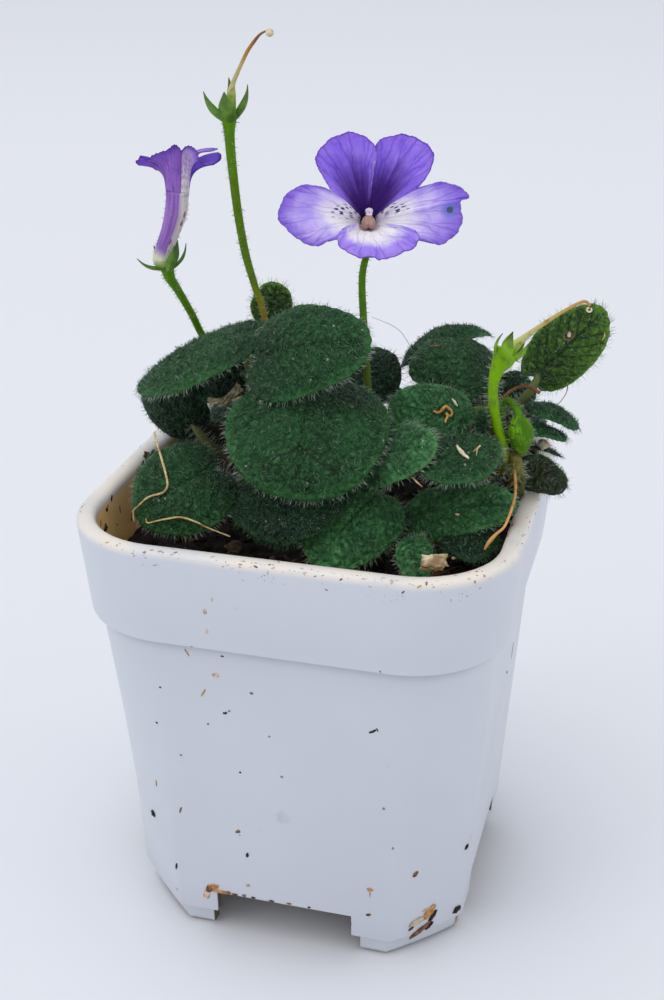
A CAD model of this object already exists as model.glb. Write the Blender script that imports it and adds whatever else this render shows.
import math

import bmesh
import bpy
import numpy as np
from mathutils import Euler, Matrix, Quaternion, Vector, noise


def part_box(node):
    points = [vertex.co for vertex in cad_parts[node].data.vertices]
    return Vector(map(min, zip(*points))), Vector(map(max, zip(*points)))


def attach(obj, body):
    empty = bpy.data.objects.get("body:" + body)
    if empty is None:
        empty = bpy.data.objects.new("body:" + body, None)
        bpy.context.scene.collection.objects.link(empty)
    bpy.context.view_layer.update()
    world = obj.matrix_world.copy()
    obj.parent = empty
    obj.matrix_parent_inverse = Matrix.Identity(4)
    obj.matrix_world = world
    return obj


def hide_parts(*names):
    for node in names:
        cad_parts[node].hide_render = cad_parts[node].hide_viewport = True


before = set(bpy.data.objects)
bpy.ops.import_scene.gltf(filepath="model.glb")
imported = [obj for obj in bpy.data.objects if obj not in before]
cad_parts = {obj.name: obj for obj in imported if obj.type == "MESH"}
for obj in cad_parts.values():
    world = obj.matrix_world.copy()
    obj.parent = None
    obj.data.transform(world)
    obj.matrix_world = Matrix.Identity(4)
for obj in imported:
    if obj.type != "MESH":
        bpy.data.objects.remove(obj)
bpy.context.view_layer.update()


# ------------------------------------------------------------------ the view
# The plant stands on a plain pale table and is seen from the front, from above and a little from its
# right. Everything below is in millimetres from the pot's own upright axis, and MM turns it to metres.

MM = 0.001
pot_low, pot_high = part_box("pot")
POT_AXIS = Vector(((pot_low.x + pot_high.x) / 2, (pot_low.y + pot_high.y) / 2, 0.0))
POT_HEIGHT = pot_high.z / MM
RIM_HALF = (pot_high.x - pot_low.x) / 2 / MM

CAMERA_PLACE = Vector((58.9, -214.7, 169.7))
CAMERA_TURN = math.radians(15.18)
CAMERA_TILT = math.radians(24.3)
CAMERA_LENS = 53.0
camera_data = bpy.data.cameras.new("camera")
camera_data.lens = CAMERA_LENS
camera_data.sensor_fit = "VERTICAL"
camera_data.sensor_height = 36.0
camera_data.clip_start = 0.01
camera = bpy.data.objects.new("camera", camera_data)
camera.location = POT_AXIS + CAMERA_PLACE * MM
camera.rotation_euler = Euler((math.pi / 2 - CAMERA_TILT, 0.0, CAMERA_TURN))
bpy.context.scene.collection.objects.link(camera)
bpy.context.scene.camera = camera

FLOOR_SIZE = 8.0
FLOOR_COLOUR = (0.815, 0.83, 0.875, 1.0)
bpy.ops.mesh.primitive_plane_add(size=FLOOR_SIZE)
floor = bpy.context.object
floor.name = "floor"
floor_paint = bpy.data.materials.new("pale table")
floor_paint.use_nodes = True
floor_shader = floor_paint.node_tree.nodes["Principled BSDF"]
floor_shader.inputs["Base Color"].default_value = FLOOR_COLOUR
floor_shader.inputs["Roughness"].default_value = 0.9
floor_shader.inputs["Specular IOR Level"].default_value = 0.1
floor.data.materials.append(floor_paint)

WORLD_COLOUR = (0.94, 0.96, 1.0, 1.0)
WORLD_STRENGTH = 0.785
world = bpy.data.worlds.new("studio")
world.use_nodes = True
world.node_tree.nodes["Background"].inputs["Color"].default_value = WORLD_COLOUR
world.node_tree.nodes["Background"].inputs["Strength"].default_value = WORLD_STRENGTH
bpy.context.scene.world = world

# Each soft light: where it stands in metres, its width, its power in watts.
SOFTBOXES = {
    "overhead_light": ((-0.4, -0.3, 2.4), 2.0, 11.5),
    "front_left_light": ((-1.6, -1.6, 1.8), 1.4, 6.4),
    "right_light": ((2.2, 0.1, 1.1), 1.2, 3.0),
}
LIGHT_TARGET = Vector((0.0, 0.0, 0.06))
for light_name, (place, width, power) in SOFTBOXES.items():
    light_data = bpy.data.lights.new(light_name, "AREA")
    light_data.shape = "DISK"
    light_data.size = width
    light_data.energy = power
    light = bpy.data.objects.new(light_name, light_data)
    light.location = place
    light.rotation_euler = (LIGHT_TARGET - Vector(place)).to_track_quat("-Z", "Y").to_euler()
    bpy.context.scene.collection.objects.link(light)
bpy.context.scene.view_settings.view_transform = "Standard"


# ------------------------------------------------------------------ the pot
# A square nursery pot of white plastic, moulded in one piece: a deep band round the rim, four walls that
# taper to the foot, corners that turn from round to a straight cut, and four legs that end in pads.

BAND_HEIGHT = 16.2
BAND_FOOT_HALF = 33.7
RIM_CORNER = 16.3
BODY_TOP_HALF = 32.0
BODY_FOOT_HALF = 28.3
BODY_TOP_CORNER = 13.2
BODY_FOOT_CORNER = 10.2
FOOT_ROUNDNESS = 0.12
WALL = 1.7
RIM_WALL = 3.2
LEG_FOOT_Z = 3.9
FLOOR_UNDERSIDE_Z = 8.7
FLOOR_TOP_Z = 10.3
SLOT_TOP_Z = 8.0
SLOT_HALF = 11.6
PAD_HALF = 27.0
PAD_WALL = 2.4
PAD_SLOT_HALF = 12.8
PAD_TOP_Z = 5.0
MOULD_EDGE = 0.45               # every outer edge is rounded this much
ROUNDED_FROM = 50               # degrees between two faces
CREASED_FROM = 38
LIP_STEPS = 8
RIM_ROLL = 1.25
INNER_REACH = 20                # faces that look inwards further out than this are the inner wall
# How far in each ring lies, how much tighter its corners are, and how high it is.
BAND_FOOT_PROFILE = ((0.55, 1.3, 0.0), (0.12, 0.9, 0.15), (0.0, 0.8, 0.6))
# The same for the pads, but how far out.
PAD_PROFILE = ((-0.7, 0.3, 0.0), (-0.15, 0.0, 0.45), (0.0, 0.0, 1.1), (0.2, 0.0, PAD_TOP_Z))
CUTTER_LENGTH = 200
CUTTER_FOOT_Z = -2.0
CORNER_STEPS = 14


def square_section(half, corner, roundness, z, steps=CORNER_STEPS):
    """One level of the pot: a square with its corners cut straight, rounded, or between."""
    points = []
    for quarter in range(4):
        turn = Matrix.Rotation(quarter * math.pi / 2, 4, "Z")
        for step in range(steps + 1):
            t = step / steps
            angle = t * math.pi / 2
            arc = Vector((half - corner * (1 - math.cos(angle)), half - corner * (1 - math.sin(angle)), z))
            straight = Vector((half - corner * t, half - corner * (1 - t), z))
            points.append(turn @ straight.lerp(arc, roundness))
    return points


def body_section(z, inset=0.0):
    """The tapered body's outline at height z, moved inwards by inset."""
    t = (z - LEG_FOOT_Z) / (POT_HEIGHT - BAND_HEIGHT - LEG_FOOT_Z)
    half = BODY_FOOT_HALF + (BODY_TOP_HALF - BODY_FOOT_HALF) * t
    corner = BODY_FOOT_CORNER + (BODY_TOP_CORNER - BODY_FOOT_CORNER) * t
    roundness = FOOT_ROUNDNESS + (1 - FOOT_ROUNDNESS) * t
    return square_section(half - inset, corner - 0.6 * inset, roundness, z)


def loft(sections):
    """A closed skin over rings that all have the same number of points."""
    bm = bmesh.new()
    rings = [[bm.verts.new(point) for point in section] for section in sections]
    for low, high in zip(rings, rings[1:]):
        count = len(low)
        for i in range(count):
            bm.faces.new((low[i], low[(i + 1) % count], high[(i + 1) % count], high[i]))
    bm.faces.new(reversed(rings[0]))
    bm.faces.new(rings[-1])
    return bm


def block(width, depth, low, high):
    """A plain block on the pot's axis, used to cut with."""
    bm = bmesh.new()
    bmesh.ops.create_cube(bm, size=1.0)
    bmesh.ops.scale(bm, vec=(width, depth, high - low), verts=bm.verts)
    bmesh.ops.translate(bm, vec=(0, 0, (high + low) / 2), verts=bm.verts)
    return bm


def stand(thing):
    """Move a piece made in millimetres from the pot's axis to its place, in metres."""
    thing.data.transform(Matrix.Translation(POT_AXIS) @ Matrix.Scale(MM, 4))
    return thing


def loose_object(bm, name):
    """An object made in millimetres, not yet in its place."""
    mesh = bpy.data.meshes.new(name)
    bm.to_mesh(mesh)
    bm.free()
    thing = bpy.data.objects.new(name, mesh)
    bpy.context.scene.collection.objects.link(thing)
    return thing


def apply_modifiers(thing):
    """Turn a piece's modifiers into real mesh."""
    bpy.context.view_layer.update()
    depsgraph = bpy.context.evaluated_depsgraph_get()
    thing.data = bpy.data.meshes.new_from_object(thing.evaluated_get(depsgraph))
    thing.modifiers.clear()


def cut(thing, cutter, operation="DIFFERENCE"):
    """Cut one loose object out of another, or weld it on, and drop it."""
    boolean = thing.modifiers.new("cut", "BOOLEAN")
    boolean.operation = operation
    boolean.solver = "EXACT"
    boolean.object = cutter
    apply_modifiers(thing)
    bpy.data.objects.remove(cutter, do_unlink=True)


class Wiring:
    """A node tree, with short ways to add to it."""

    def __init__(self, tree):
        self.tree = tree

    def put(self, socket, value):
        """Lead a node's output into a socket, or write a plain value there."""
        if isinstance(value, bpy.types.NodeSocket):
            self.tree.links.new(value, socket)
        else:
            socket.default_value = (*value, 1.0) if socket.type == "RGBA" else value

    def node(self, kind, values=(), **settings):
        """A node, with some of its settings and inputs filled in."""
        node = self.tree.nodes.new("ShaderNode" + kind)
        for name, value in settings.items():
            setattr(node, name, value)
        for socket, value in dict(values).items():
            self.put(node.inputs[socket], value)
        return node

    def sum(self, operation, a, b=0.0):
        """The result of one sum."""
        return self.node("Math", {0: a, 1: b}, operation=operation).outputs[0]

    def plus(self, a, b):
        """Two values added."""
        return self.sum("ADD", a, b)

    def minus(self, a, b):
        """One value less another."""
        return self.sum("SUBTRACT", a, b)

    def times(self, a, b):
        """One value times another."""
        return self.sum("MULTIPLY", a, b)

    def between(self, value, low, high):
        """0 below low, 1 above high, smooth between."""
        ends = {"Value": value, "From Min": low, "From Max": high}
        return self.node("MapRange", ends, interpolation_type="SMOOTHSTEP").outputs["Result"]

    def mix(self, share, first, second, way="MIX"):
        """Two colours mixed by a share."""
        return self.node("Mix", {0: share, 6: first, 7: second}, data_type="RGBA",
            blend_type=way).outputs[2]


def new_group(name, values):
    """A node group that takes a place and some values and gives a mask."""
    group = bpy.data.node_groups.new(name, "ShaderNodeTree")
    group.interface.new_socket("Place", in_out="INPUT", socket_type="NodeSocketVector")
    for socket, value in values.items():
        group.interface.new_socket(socket, in_out="INPUT",
            socket_type="NodeSocketFloat").default_value = value
    group.interface.new_socket("Mask", in_out="OUTPUT", socket_type="NodeSocketFloat")
    given = group.nodes.new("NodeGroupInput").outputs
    return Wiring(group), given, group.nodes.new("NodeGroupOutput").inputs["Mask"]


# Specks: round grains of dust or dirt, scattered at random. Per Metre is how close they lie, Size how
# big each is against its cell, and Share how many cells hold one.
specks, given, mask = new_group("specks", {"Per Metre": 400.0, "Size": 0.2, "Share": 0.3})
ruffle = specks.node("TexNoise", {"Vector": given["Place"], "Scale": 1500.0})
shifted = specks.node("VectorMath", {0: ruffle.outputs["Color"], "Scale": 0.0005}, operation="SCALE")
grain_place = specks.node("VectorMath", {0: given["Place"], 1: shifted.outputs[0]}, operation="ADD")
cells = specks.node("TexVoronoi", {"Vector": grain_place.outputs[0], "Scale": given["Per Metre"]})
near = specks.sum("LESS_THAN", cells.outputs["Distance"], given["Size"])
dice = specks.node("SeparateColor", {"Color": cells.outputs["Color"]})
specks.put(mask, specks.times(near, specks.sum("LESS_THAN", dice.outputs["Red"], given["Share"])))

# Mottling: soft cloudy patches between 0 and 1. Level is how much of the surface stays bare.
mottle, given, mask = new_group("mottle", {"Per Metre": 60.0, "Level": 0.5, "Softness": 0.15})
clouds = mottle.node("TexNoise", {"Vector": given["Place"], "Scale": given["Per Metre"], "Detail": 4.0,
    "Roughness": 0.6})
ends = [mottle.sum(way, given["Level"], given["Softness"]) for way in ("SUBTRACT", "ADD")]
mottle.put(mask, mottle.between(clouds.outputs["Fac"], *ends))


class Skin(Wiring):
    """A surface as it is put together: its material, the place on the object, and its colour so far."""

    def __init__(self, name):
        self.made = bpy.data.materials.new(name)
        self.made.use_nodes = True
        super().__init__(self.made.node_tree)
        self.place = self.node("TexCoord").outputs["Object"]
        self.colour = None

    def mark(self, name):
        """A mark of the mesh: along a part, across it, or out towards its edge."""
        return self.node("Attribute", attribute_name=name).outputs["Fac"]

    def noise(self, scale, detail=2.0):
        """Cloudy unevenness."""
        return self.node("TexNoise", {"Vector": self.place, "Scale": scale,
            "Detail": detail}).outputs["Fac"]

    def patches(self, per_metre, level, softness):
        """Soft cloudy patches."""
        values = {"Place": self.place, "Per Metre": per_metre, "Level": level, "Softness": softness}
        return self.node("Group", values, node_tree=mottle.tree).outputs["Mask"]

    def grains(self, per_metre, size, share):
        """Grains of dust or dirt."""
        values = {"Place": self.place, "Per Metre": per_metre, "Size": size, "Share": share}
        return self.node("Group", values, node_tree=specks.tree).outputs["Mask"]

    def tint(self, colour, share, strength=None):
        """Lay a colour over the colour so far, by a share."""
        share = share if strength is None else self.times(share, strength)
        self.colour = self.mix(share, self.colour, colour)

    def finish(self, roughness, relief=None, strength=0.0, depth=0.0, soft=None, specular=0.5, sunken=False,
            **sheen):
        """Fill the shader. Soft is how much light goes under the surface, then how far each colour goes."""
        values = {"Base Color": self.colour, "Roughness": roughness, "Specular IOR Level": specular}
        if relief:
            bump = self.node("Bump", {"Height": relief, "Strength": strength, "Distance": depth},
                invert=sunken)
            values["Normal"] = bump.outputs["Normal"]
        if soft:
            values.update({"Subsurface Weight": soft[0], "Subsurface Radius": soft[1:],
                "Subsurface Scale": 1.0})
        values.update({"Sheen " + name: value for name, value in sheen.items()})
        for socket, value in values.items():
            self.put(self.tree.nodes["Principled BSDF"].inputs[socket], value)
        return self.made


PLASTIC_WHITE = (0.645, 0.675, 0.735)
PLASTIC_SHADE = (0.6, 0.63, 0.69)
RIM_CREAM = (0.87, 0.8, 0.71)
RUST = (0.42, 0.17, 0.04)
DARK_DIRT = (0.045, 0.028, 0.015)


def pot_plastic(name, inner):
    """White plastic with a soiled rim. The inner wall is stained brown by wet soil."""
    skin = Skin(name)
    spot = skin.node("SeparateXYZ", {"Vector": skin.place}).outputs

    def below_rim(start, end):
        return skin.between(spot["Z"], (POT_HEIGHT - start) * MM, (POT_HEIGHT - end) * MM)

    cloud = skin.patches(18.0, 0.5, 0.25)
    skin.colour = skin.mix(cloud, PLASTIC_WHITE, PLASTIC_SHADE)
    if inner:
        wet = below_rim(0.6, 2.4)
        skin.tint(skin.mix(skin.patches(90.0, 0.4, 0.3), (0.74, 0.45, 0.15), (0.92, 0.66, 0.3)), wet)
        damp = skin.between(spot["Y"], POT_AXIS.y + 1 * MM, POT_AXIS.y + 17 * MM)
        skin.tint((0.022, 0.015, 0.008), damp, wet)
        skin.tint(DARK_DIRT, skin.grains(420.0, 0.16, 0.2), wet)
        skin.tint((0.045, 0.04, 0.036), skin.between(spot["Z"], 13 * MM, 9 * MM), 0.9)
    skin.tint(RIM_CREAM, below_rim(1.6, 0.3), skin.patches(45.0, 0.42, 0.2))
    dusty = skin.times(below_rim(5.0, 0.5), skin.patches(120.0, 0.62, 0.06))
    for per_metre, size, share, colour in ((1100.0, 0.26, 0.45, RUST), (1900.0, 0.24, 0.25, DARK_DIRT)):
        skin.tint(colour, skin.times(skin.grains(per_metre, size, share), dusty), 0.8)
    skin.tint(DARK_DIRT, skin.grains(170.0, 0.045, 0.5), 0.7)
    skin.tint((0.42, 0.38, 0.4), skin.patches(140.0, 0.72, 0.05), 0.35)
    grime = skin.times(skin.sum("POWER", below_rim(BAND_HEIGHT + 3.2, BAND_HEIGHT + 0.05), 2.2),
        below_rim(BAND_HEIGHT - 0.3, BAND_HEIGHT - 0.1))
    skin.tint((0.3, 0.31, 0.36), grime, 0.55)
    gloss = skin.node("MapRange", {"Value": cloud, "To Min": 0.3, "To Max": 0.42}).outputs["Result"]
    return skin.finish(gloss, skin.noise(90.0), 0.12, 0.001, (0.12, 0.004, 0.004, 0.004))


band_z = POT_HEIGHT - BAND_HEIGHT
inside_half = RIM_HALF - RIM_WALL
BODY_LEVELS = 10
levels = [LEG_FOOT_Z + (band_z - LEG_FOOT_Z) * k / BODY_LEVELS for k in range(BODY_LEVELS + 1)]
outer = [body_section(z) for z in levels]
band = []
for inset, corner, rise in BAND_FOOT_PROFILE:
    band.append(square_section(BAND_FOOT_HALF - inset, RIM_CORNER - corner, 1, band_z + rise))
lip = []
for k in range(LIP_STEPS + 1):  # the top of the rim is a soft roll
    angle = math.pi * k / LIP_STEPS
    half = RIM_HALF - RIM_WALL / 2 + RIM_WALL / 2 * math.cos(angle)
    level = POT_HEIGHT - RIM_ROLL + RIM_ROLL * math.sin(angle) ** 0.7
    lip.append(square_section(half, RIM_CORNER - (RIM_HALF - half) * 1.2, 1, level))
inner = [square_section(inside_half - 0.6, RIM_CORNER - 4.5, 1, band_z + 1.5)]
inner += [body_section(z, WALL) for z in reversed(levels[2:-1])]
inner.append(body_section(FLOOR_TOP_Z, WALL + 0.1))
pot = loose_object(loft([body_section(FLOOR_UNDERSIDE_Z, WALL), body_section(LEG_FOOT_Z, WALL)] + outer
    + band + lip + inner), "pot_moulding")
pad_corner = BODY_FOOT_CORNER - 0.6
pad_rings = []
for wider, less, z in PAD_PROFILE:
    pad_rings.append(square_section(PAD_HALF + wider, pad_corner - less, FOOT_ROUNDNESS, z))
pads = loose_object(loft(pad_rings), "pads")
cut(pads, loose_object(loft([square_section(PAD_HALF - PAD_WALL, pad_corner - 1.6, FOOT_ROUNDNESS, z)
    for z in (-1.0, PAD_TOP_Z + 1.0)]), "pad_hollow"))
for thing, half, top in ((pot, SLOT_HALF, SLOT_TOP_Z), (pads, PAD_SLOT_HALF, PAD_TOP_Z + 1.0)):
    cut(thing, loose_object(block(half * 2, CUTTER_LENGTH, CUTTER_FOOT_Z, top), "slot"))
    cut(thing, loose_object(block(CUTTER_LENGTH, half * 2, CUTTER_FOOT_Z, top), "slot"))
cut(pot, pads, "UNION")
rounding = pot.modifiers.new("moulded edges", "BEVEL")
rounding.width = MOULD_EDGE
rounding.segments = 2
rounding.limit_method = "ANGLE"
rounding.angle_limit = math.radians(ROUNDED_FROM)
apply_modifiers(pot)
pot.data.materials.clear()
pot.data.materials.append(pot_plastic("white plastic", inner=False))
pot.data.materials.append(pot_plastic("stained inner wall", inner=True))
for face in pot.data.polygons:
    reach = max(abs(face.center.x), abs(face.center.y))
    inward = face.normal.x * face.center.x + face.normal.y * face.center.y < 0
    under_pot = face.center.z < FLOOR_TOP_Z and (face.normal.z < -0.5 or inward)
    inner_wall = inward and face.center.z > FLOOR_TOP_Z and reach > INNER_REACH
    face.material_index = 1 if under_pot or inner_wall else 0
pot.data.shade_smooth()
pot.data.set_sharp_from_angle(angle=math.radians(CREASED_FROM))
stand(pot)
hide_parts("pot")
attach(pot, "root")


# ------------------------------------------------------------------ the three stems
# Three short upright stems grow from a buried tuber. They are green-brown, a little rough, and covered with
# short white hairs. Every leaf and flower stalk grows from one of them.

STEM_RADIUS = 1.9
STEM_TOP_RADIUS = 1.5
STEM_HAIRS_PER_MM = 30
STALK_HAIR_LENGTH = 1.2
SOIL_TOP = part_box("soil")[1].z / MM
STEMS = {
    "stem_left": ((-12.5, 3.0), (-14.0, 3.5, 77.0), (-12.5, 4.0, 91.0)),
    "stem_middle": ((5.5, 1.5), (6.5, 1.0, 75.0), (6.0, 2.5, 87.0)),
    "stem_right": ((24.0, 1.5), (25.0, 1.5, 75.0), (24.5, 2.5, 87.0)),
}


def smooth_row(points, count):
    """An even, smooth row of points through the given ones."""
    path = [Vector(point) for point in points]
    if len(path) == 2:
        return np.array([path[0].lerp(path[1], i / (count - 1)) for i in range(count)])
    padded = [2 * path[0] - path[1]] + path + [2 * path[-1] - path[-2]]
    spans = len(path) - 1
    row = []
    for i in range(count):
        where = min(i / (count - 1) * spans, spans - 1e-6)
        k = int(where)
        t = where - k
        a, b, c, d = padded[k:k + 4]
        row.append(0.5 * (2 * b + (c - a) * t + (2 * a - 5 * b + 4 * c - d) * t ** 2
            + (3 * b - a - 3 * c + d) * t ** 3))
    return np.array(row)


def unit(vectors):
    """Vectors of length one."""
    return vectors / np.maximum(np.linalg.norm(vectors, axis=-1, keepdims=True), 1e-9)


def stalk_frame(row):
    """The way along, and two ways across, at each point of a row."""
    ahead = unit(np.gradient(row, axis=0))
    first = np.cross(ahead[0], (0.0, 0.0, 1.0))
    if np.linalg.norm(first) < 0.1:
        first = np.cross(ahead[0], (0.0, 1.0, 0.0))
    sides = [unit(first)]
    for way in ahead[1:]:
        sides.append(unit(sides[-1] - way * np.dot(sides[-1], way)))
    side = np.array(sides)
    return ahead, side, np.cross(ahead, side)


def new_piece():
    """An empty piece: its points, its faces, the finish of each face, and two marks for each point."""
    return {"points": [], "faces": [], "finish": [], "along": [], "across": [], "edge": [], "count": 0}


def add_skin(piece, points, faces, finish=0, along=0.0, across=0.0, edge=0.0):
    """Add points and faces to a piece. The marks say where on its own part each point lies."""
    points = np.asarray(points, float).reshape(-1, 3)
    shift = piece["count"]
    piece["points"].append(points)
    piece["count"] += len(points)
    piece["faces"] += [[corner + shift for corner in face] for face in faces]
    piece["finish"] += finish if isinstance(finish, list) else [finish] * len(faces)
    for mark, value in (("along", along), ("across", across), ("edge", edge)):
        piece[mark].append(np.broadcast_to(np.asarray(value, float), (len(points),)))


def finish_piece(piece, name, finishes, slot, *nodes):
    """Turn what was gathered into one piece of the plant, which stands for the given solids."""
    mesh = bpy.data.meshes.new(name)
    points = np.concatenate(piece["points"]) * MM + np.array(POT_AXIS)
    mesh.from_pydata(points.tolist(), [], piece["faces"])
    for finish in finishes:
        mesh.materials.append(finish)
    mesh.polygons.foreach_set("material_index", piece["finish"])
    mesh.shade_smooth()
    for mark in ("along", "across", "edge"):
        layer = mesh.attributes.new(mark, "FLOAT", "POINT")
        layer.data.foreach_set("value", np.concatenate(piece[mark]).astype(np.float32))
    thing = bpy.data.objects.new(name, mesh)
    bpy.context.scene.collection.objects.link(thing)
    if nodes:
        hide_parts(*nodes)
    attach(thing, "root")
    return thing


def ring_faces(rings, around, first=0):
    """The four-sided faces between rings of points, each from its low left corner round."""
    low = first + np.arange((rings - 1) * around).reshape(rings - 1, around)
    beside = np.roll(low, -1, axis=1)
    return np.stack((low, beside, beside + around, low + around), axis=-1).reshape(-1, 4).tolist()


def rings_along(row, radii, sides):
    """Rings round a row of points: how far along each is, its radius, its turn and the ways out."""
    _, side, other = stalk_frame(row)
    share = np.linspace(0, 1, len(row))
    radius = np.interp(share, np.linspace(0, 1, len(radii)), radii)
    turn = np.linspace(0, 2 * math.pi, sides, endpoint=False)
    ring = np.cos(turn)[None, :, None] * side[:, None, :] + np.sin(turn)[None, :, None] * other[:, None, :]
    return share, radius, turn, ring


def end_faces(rings, around):
    """The faces that close the first and the last of a row of rings."""
    return [tuple(range(around))[::-1], tuple(range((rings - 1) * around, rings * around))]


def add_stalk(piece, row, radii, sides=10, finish=0, ripple=0.0, seed=0):
    """A round stalk along a row of points, its radius given at even steps, closed at both ends."""
    row = np.asarray(row, float)
    count = len(row)
    share, radius, turn, ring = rings_along(row, radii, sides)
    slow = np.sin(3 * turn[None, :] + 5 * share[:, None] + seed)
    wobble = 1 + ripple * slow * np.sin(17 * share[:, None] + seed)
    points = row[:, None, :] + ring * (radius[:, None] * wobble)[:, :, None]
    add_skin(piece, points, ring_faces(count, sides) + end_faces(count, sides), finish,
        np.repeat(share, sides), np.tile(np.cos(turn), count))


def add_hairs(piece, roots, up, lean, length, finish, thick=0.045, bow=None):
    """Fine curved hairs: each rises along up, then bends over towards lean, and ends in a point."""
    count = len(roots)
    if count == 0:
        return
    length = np.broadcast_to(length, (count,))[:, None]
    bow = np.zeros((count, 3)) if bow is None else bow
    middle = roots + (0.55 * up + 0.3 * lean + 0.12 * bow) * length
    end = roots + (0.62 * up + 0.85 * lean - 0.1 * bow) * length
    first = unit(np.cross(up + lean * 0.3, np.roll(up, 1, axis=1) + 0.01))
    second = unit(np.cross(up + lean * 0.3, first))
    points = np.empty((count, 7, 3))
    for k in range(3):
        angle = 2 * math.pi * k / 3
        around = math.cos(angle) * first + math.sin(angle) * second
        points[:, k] = roots - up * 0.04 + around * thick
        points[:, 3 + k] = middle + around * thick * 0.7
    points[:, 6] = end
    pattern = [(0, 1, 4, 3), (1, 2, 5, 4), (2, 0, 3, 5), (3, 4, 6), (4, 5, 6), (5, 3, 6), (2, 1, 0)]
    faces = [tuple(corner + 7 * i for corner in face) for i in range(count) for face in pattern]
    add_skin(piece, points, faces, finish, 0.0, 0.0,
        np.repeat(np.random.default_rng(count).random(count), 7))


def hairs_round_stalk(piece, row, radii, per_mm, length, finish, rng, lean=0.2):
    """Short hairs that stand out all round a stalk."""
    ahead, side, other = stalk_frame(np.asarray(row, float))
    reach = np.linalg.norm(np.diff(row, axis=0), axis=1).sum()
    count = int(reach * per_mm)
    where = rng.random(count) * (len(row) - 1.001)
    k = where.astype(int)
    t = (where - k)[:, None]
    centre = row[k] * (1 - t) + row[k + 1] * t
    angle = rng.random(count)[:, None] * 2 * math.pi
    out = np.cos(angle) * side[k] + np.sin(angle) * other[k]
    radius = np.interp(where / (len(row) - 1), np.linspace(0, 1, len(radii)), radii)[:, None]
    tilt = ahead[k] * rng.normal(lean, 0.35, (count, 1))
    add_hairs(piece, centre + out * radius * 0.97, out, unit(out + tilt),
        length * rng.uniform(0.5, 1.1, count), finish)


def plant_hair(name, dull, bright):
    """Plant hair, each strand a slightly different shade."""
    skin = Skin(name)
    skin.colour = skin.mix(skin.mark("edge"), dull, bright)
    return skin.finish(0.5, specular=0.3)


def stalk_skin(name, low, middle, high):
    """Green stalk skin that shades from one colour at its foot to another at its top."""
    skin = Skin(name)
    along = skin.mark("along")
    skin.colour = skin.mix(skin.between(along, 0.0, 0.35), low, middle)
    skin.tint(high, skin.between(along, 0.45, 1.0))
    streaks = skin.noise(700.0, 3.0)
    darker = skin.node("HueSaturation", {"Color": skin.colour, "Value": 0.62}).outputs["Color"]
    skin.tint(darker, skin.between(streaks, 0.35, 0.75), 0.6)
    return skin.finish(0.5, streaks, 0.3, 0.0003, (0.2, 0.0008, 0.0012, 0.0004), 0.15)


WHITE_HAIR = plant_hair("white plant hair", (0.16, 0.24, 0.15), (0.62, 0.7, 0.62))
GREEN_HAIR = plant_hair("green plant hair", (0.008, 0.04, 0.015), (0.095, 0.275, 0.11))
STEM_SKIN = stalk_skin("stem skin", (0.035, 0.025, 0.012), (0.05, 0.06, 0.018), (0.09, 0.14, 0.035))


def stem_row(name):
    """The points of one stem, from just over the soil to its top."""
    foot, bend, top = STEMS[name]
    return smooth_row([(*foot, SOIL_TOP - 0.9), bend, top], 15)


for number, stem_name in enumerate(STEMS):
    rng = np.random.default_rng(40 + number)
    piece = new_piece()
    radii = (STEM_RADIUS, STEM_RADIUS, STEM_TOP_RADIUS * 0.9)
    add_stalk(piece, stem_row(stem_name), radii, 16, 0, 0.06, number)
    hairs_round_stalk(piece, stem_row(stem_name), radii, STEM_HAIRS_PER_MM, STALK_HAIR_LENGTH, 1, rng)
    finish_piece(piece, stem_name + "_grown", [STEM_SKIN, WHITE_HAIR], "stem", stem_name)


# ------------------------------------------------------------------ the leaves
# Round, soft leaves with a shallow notch at the base, each grown with its own stalk. The blade is dark
# green, quilted between its veins, toothed along its edge, and thick with curved white hairs.

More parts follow.
